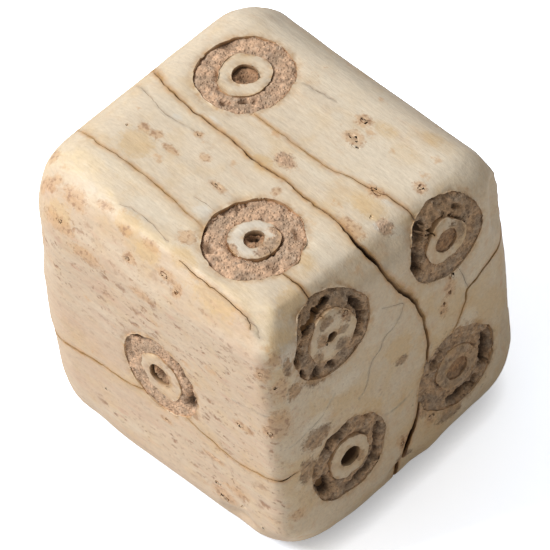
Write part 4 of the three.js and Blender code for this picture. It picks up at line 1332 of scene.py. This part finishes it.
colour = coated(
    colour,
    (PINK, streaks),
    (SPECK, dashes, 0.90),
    (SPECK, pores, 0.75),
    (ORANGE, blotches, 0.55),
    (YELLOW, crack_near, patch(2.2, 0.35, 0.65, LONG), 0.35),
    (ORANGE, ranged(tree, crack_near, 0.80, 0.98), patch(1.5, 0.35, 0.55), 0.6),
    (GREY, ranged(tree, crack_near, 0.55, 1.0), patch(1.6, 0.45, 0.6), 0.30),
    (OCHRE, ranged(tree, crack_wall, 0.60, 1.0), ranged(tree, patch(1.8, 0.35, 0.6), 0, 1, 0.25, 0.80)),
    (SMOKE, hair, ranged(tree, patch(2.5, 0.35, 0.6, LONG), 0, 1, 0.05, 0.40)),
    (ORANGE, brown, 0.55),
    (SPECK, brown, patch(4.0, 0.5, 0.62), 0.7),
)
print("with specks and stains:", len(tree.nodes), "nodes")

# %% [markdown]
# Soil is smeared over the worst places. Pip rims are brown, what lies under the old skin is browner
# the deeper it is, and the deepest places and the insides of cracks and holes are nearly black, which
# is dark dirt and painted shade in one colour.

# %% Dirt and painted shade
soiled = ragged_stain("soiled", 2.6, 0.35, 0.6)
tones = {tone: mixed(tree, end, TOP_SOIL[tone], END_SOIL[tone]) for tone in TOP_SOIL}
smear = placed_group(tree, grit, {"Vector": at, "Darkness": 0.7, **tones})
rim = times(stored_value(tree, "rim"), ranged(tree, patch(2.8, 0.38, 0.66), 0, 1, 0.05, 1.0))
shallow = ranged(tree, under, 0.03, 0.14)
# crack insides and pip holes turn near black: dark dirt and painted shade
crack_dirt_and_shade = times(crack_wall, ranged(tree, under, 0.08, 0.34), 0.85)
hole_dirt_and_shade = times(stored_value(tree, "hole"), ranged(tree, under, 0.05, 0.28), 0.90)
colour = coated(
    colour,
    (smear.outputs["Color"], soiled, 0.92),
    (RIM, rim, 0.85),
    (RIM, shallow, 0.75),
    (WALL, ranged(tree, under, 0.08, 0.35)),
    # painted shade with dark dirt: near black in the deepest places, crack insides and pip holes
    (DEEP_DIRT_AND_SHADE, larger(tree, ranged(tree, under, 0.38, 0.85), larger(tree, crack_dirt_and_shade, hole_dirt_and_shade))),
)
colour = shaded(tree, colour, ranged(tree, patch(7.0, 0.25, 0.75, (0.4, 1, 1), 5.0), 0, 1, 0.90, 1.09))
tree.links.new(colour, shader.inputs["Base Color"])
print("with dirt:", len(tree.nodes), "nodes")

# %% [markdown]
# Clean bone has a faint polish from handling, and dirt is dull. The fibres, specks and smeared soil
# are too fine for the mesh, so they feed a Bump node.

# %% Bone gloss and relief
BONE_BUMP = 0.00003
dirty = larger(tree, soiled, larger(tree, shallow, rim))
gloss = ranged(tree, patch(1.6, 0.3, 0.7), 0, 1, 0.42, 0.58)
rough = larger(tree, gloss, ranged(tree, dirty, 0, 1, 0.3, 0.92))
tree.links.new(rough, shader.inputs["Roughness"])
fibres = patch(9.0, 0.25, 0.75, LONG, 4.0)
height = math_node(tree, "SUBTRACT", times(fibres, 0.5), dashes)
height = math_node(tree, "SUBTRACT", height, times(pores, 0.8))
height = math_node(tree, "ADD", height, times(smear.outputs["Height"], soiled, 1.5))
relief = node(tree, "Bump", {"Height": height, "Distance": BONE_BUMP, "Strength": 0.7})
tree.links.new(relief.outputs[0], shader.inputs["Normal"])
bone.data.materials.clear()
bone.data.materials.append(bone_finish)
print("old bone:", len(tree.nodes), "nodes")

# %% [markdown]
# ## Soil materials
# The rings hold pinkish tan grit, and the holes in the middle of the pips a browner one. One function
# makes both from the same grit. Each gets darker with its depth under the skin of the bone, down to
# near black in the deepest hollows, which is darker soil and painted shade together; on the ends of
# the die it is darker altogether.

# %% Soil materials
SOIL_SHADE = {"ring": (1.0, 1.0, 1.0, 1), "dot": (0.80, 0.70, 0.60, 1)}
# depths where the soil begins and ends turning near black, and how far it goes: darker soil and painted shade
SOIL_DEPTH = {"ring": (0.18, 0.50, 0.93), "dot": (0.22, 0.55, 0.93)}
# near black for soil deep in a hollow: darker soil and painted shade
HOLLOW_SOIL_AND_SHADE = (0.075, 0.042, 0.021, 1)
SOIL_BUMP = 0.00006


def soil_material(kind):
    finish = bpy.data.materials.new(f"{kind}_soil")
    finish.use_nodes = True
    tree = finish.node_tree
    shader = tree.nodes["Principled BSDF"]
    end = stored_value(tree, "end")
    tones = {tone: mixed(tree, end, TOP_SOIL[tone], END_SOIL[tone]) for tone in TOP_SOIL}
    darkness = ranged(tree, end, 0, 1, 0.50, 0.85)
    look = placed_group(tree, grit, {"Vector": in_millimetres(tree), "Darkness": darkness, **tones})
    colour = mixed(tree, 1.0, look.outputs["Color"], SOIL_SHADE[kind], "MULTIPLY")
    near, far, most = SOIL_DEPTH[kind]
    # deeper soil turns near black: darker soil and painted shade in the hollows
    sunk = ranged(tree, stored_value(tree, "depth"), near, far, 0.0, most)
    colour = mixed(tree, sunk, colour, HOLLOW_SOIL_AND_SHADE)
    tree.links.new(colour, shader.inputs["Base Color"])
    tree.links.new(ranged(tree, look.outputs["Height"], 0, 1, 0.88, 1.0), shader.inputs["Roughness"])
    relief = node(tree, "Bump", {"Height": look.outputs["Height"], "Distance": SOIL_BUMP, "Strength": 0.8})
    tree.links.new(relief.outputs[0], shader.inputs["Normal"])
    return finish


soil_finishes = {kind: soil_material(kind) for kind in SOIL_SHADE}
for soil in soils:
    kind = soil.name.split("_")[0]
    soil.data.materials.clear()
    soil.data.materials.append(soil_finishes[kind])
print("soil finishes:", [finish.name for finish in soil_finishes.values()])
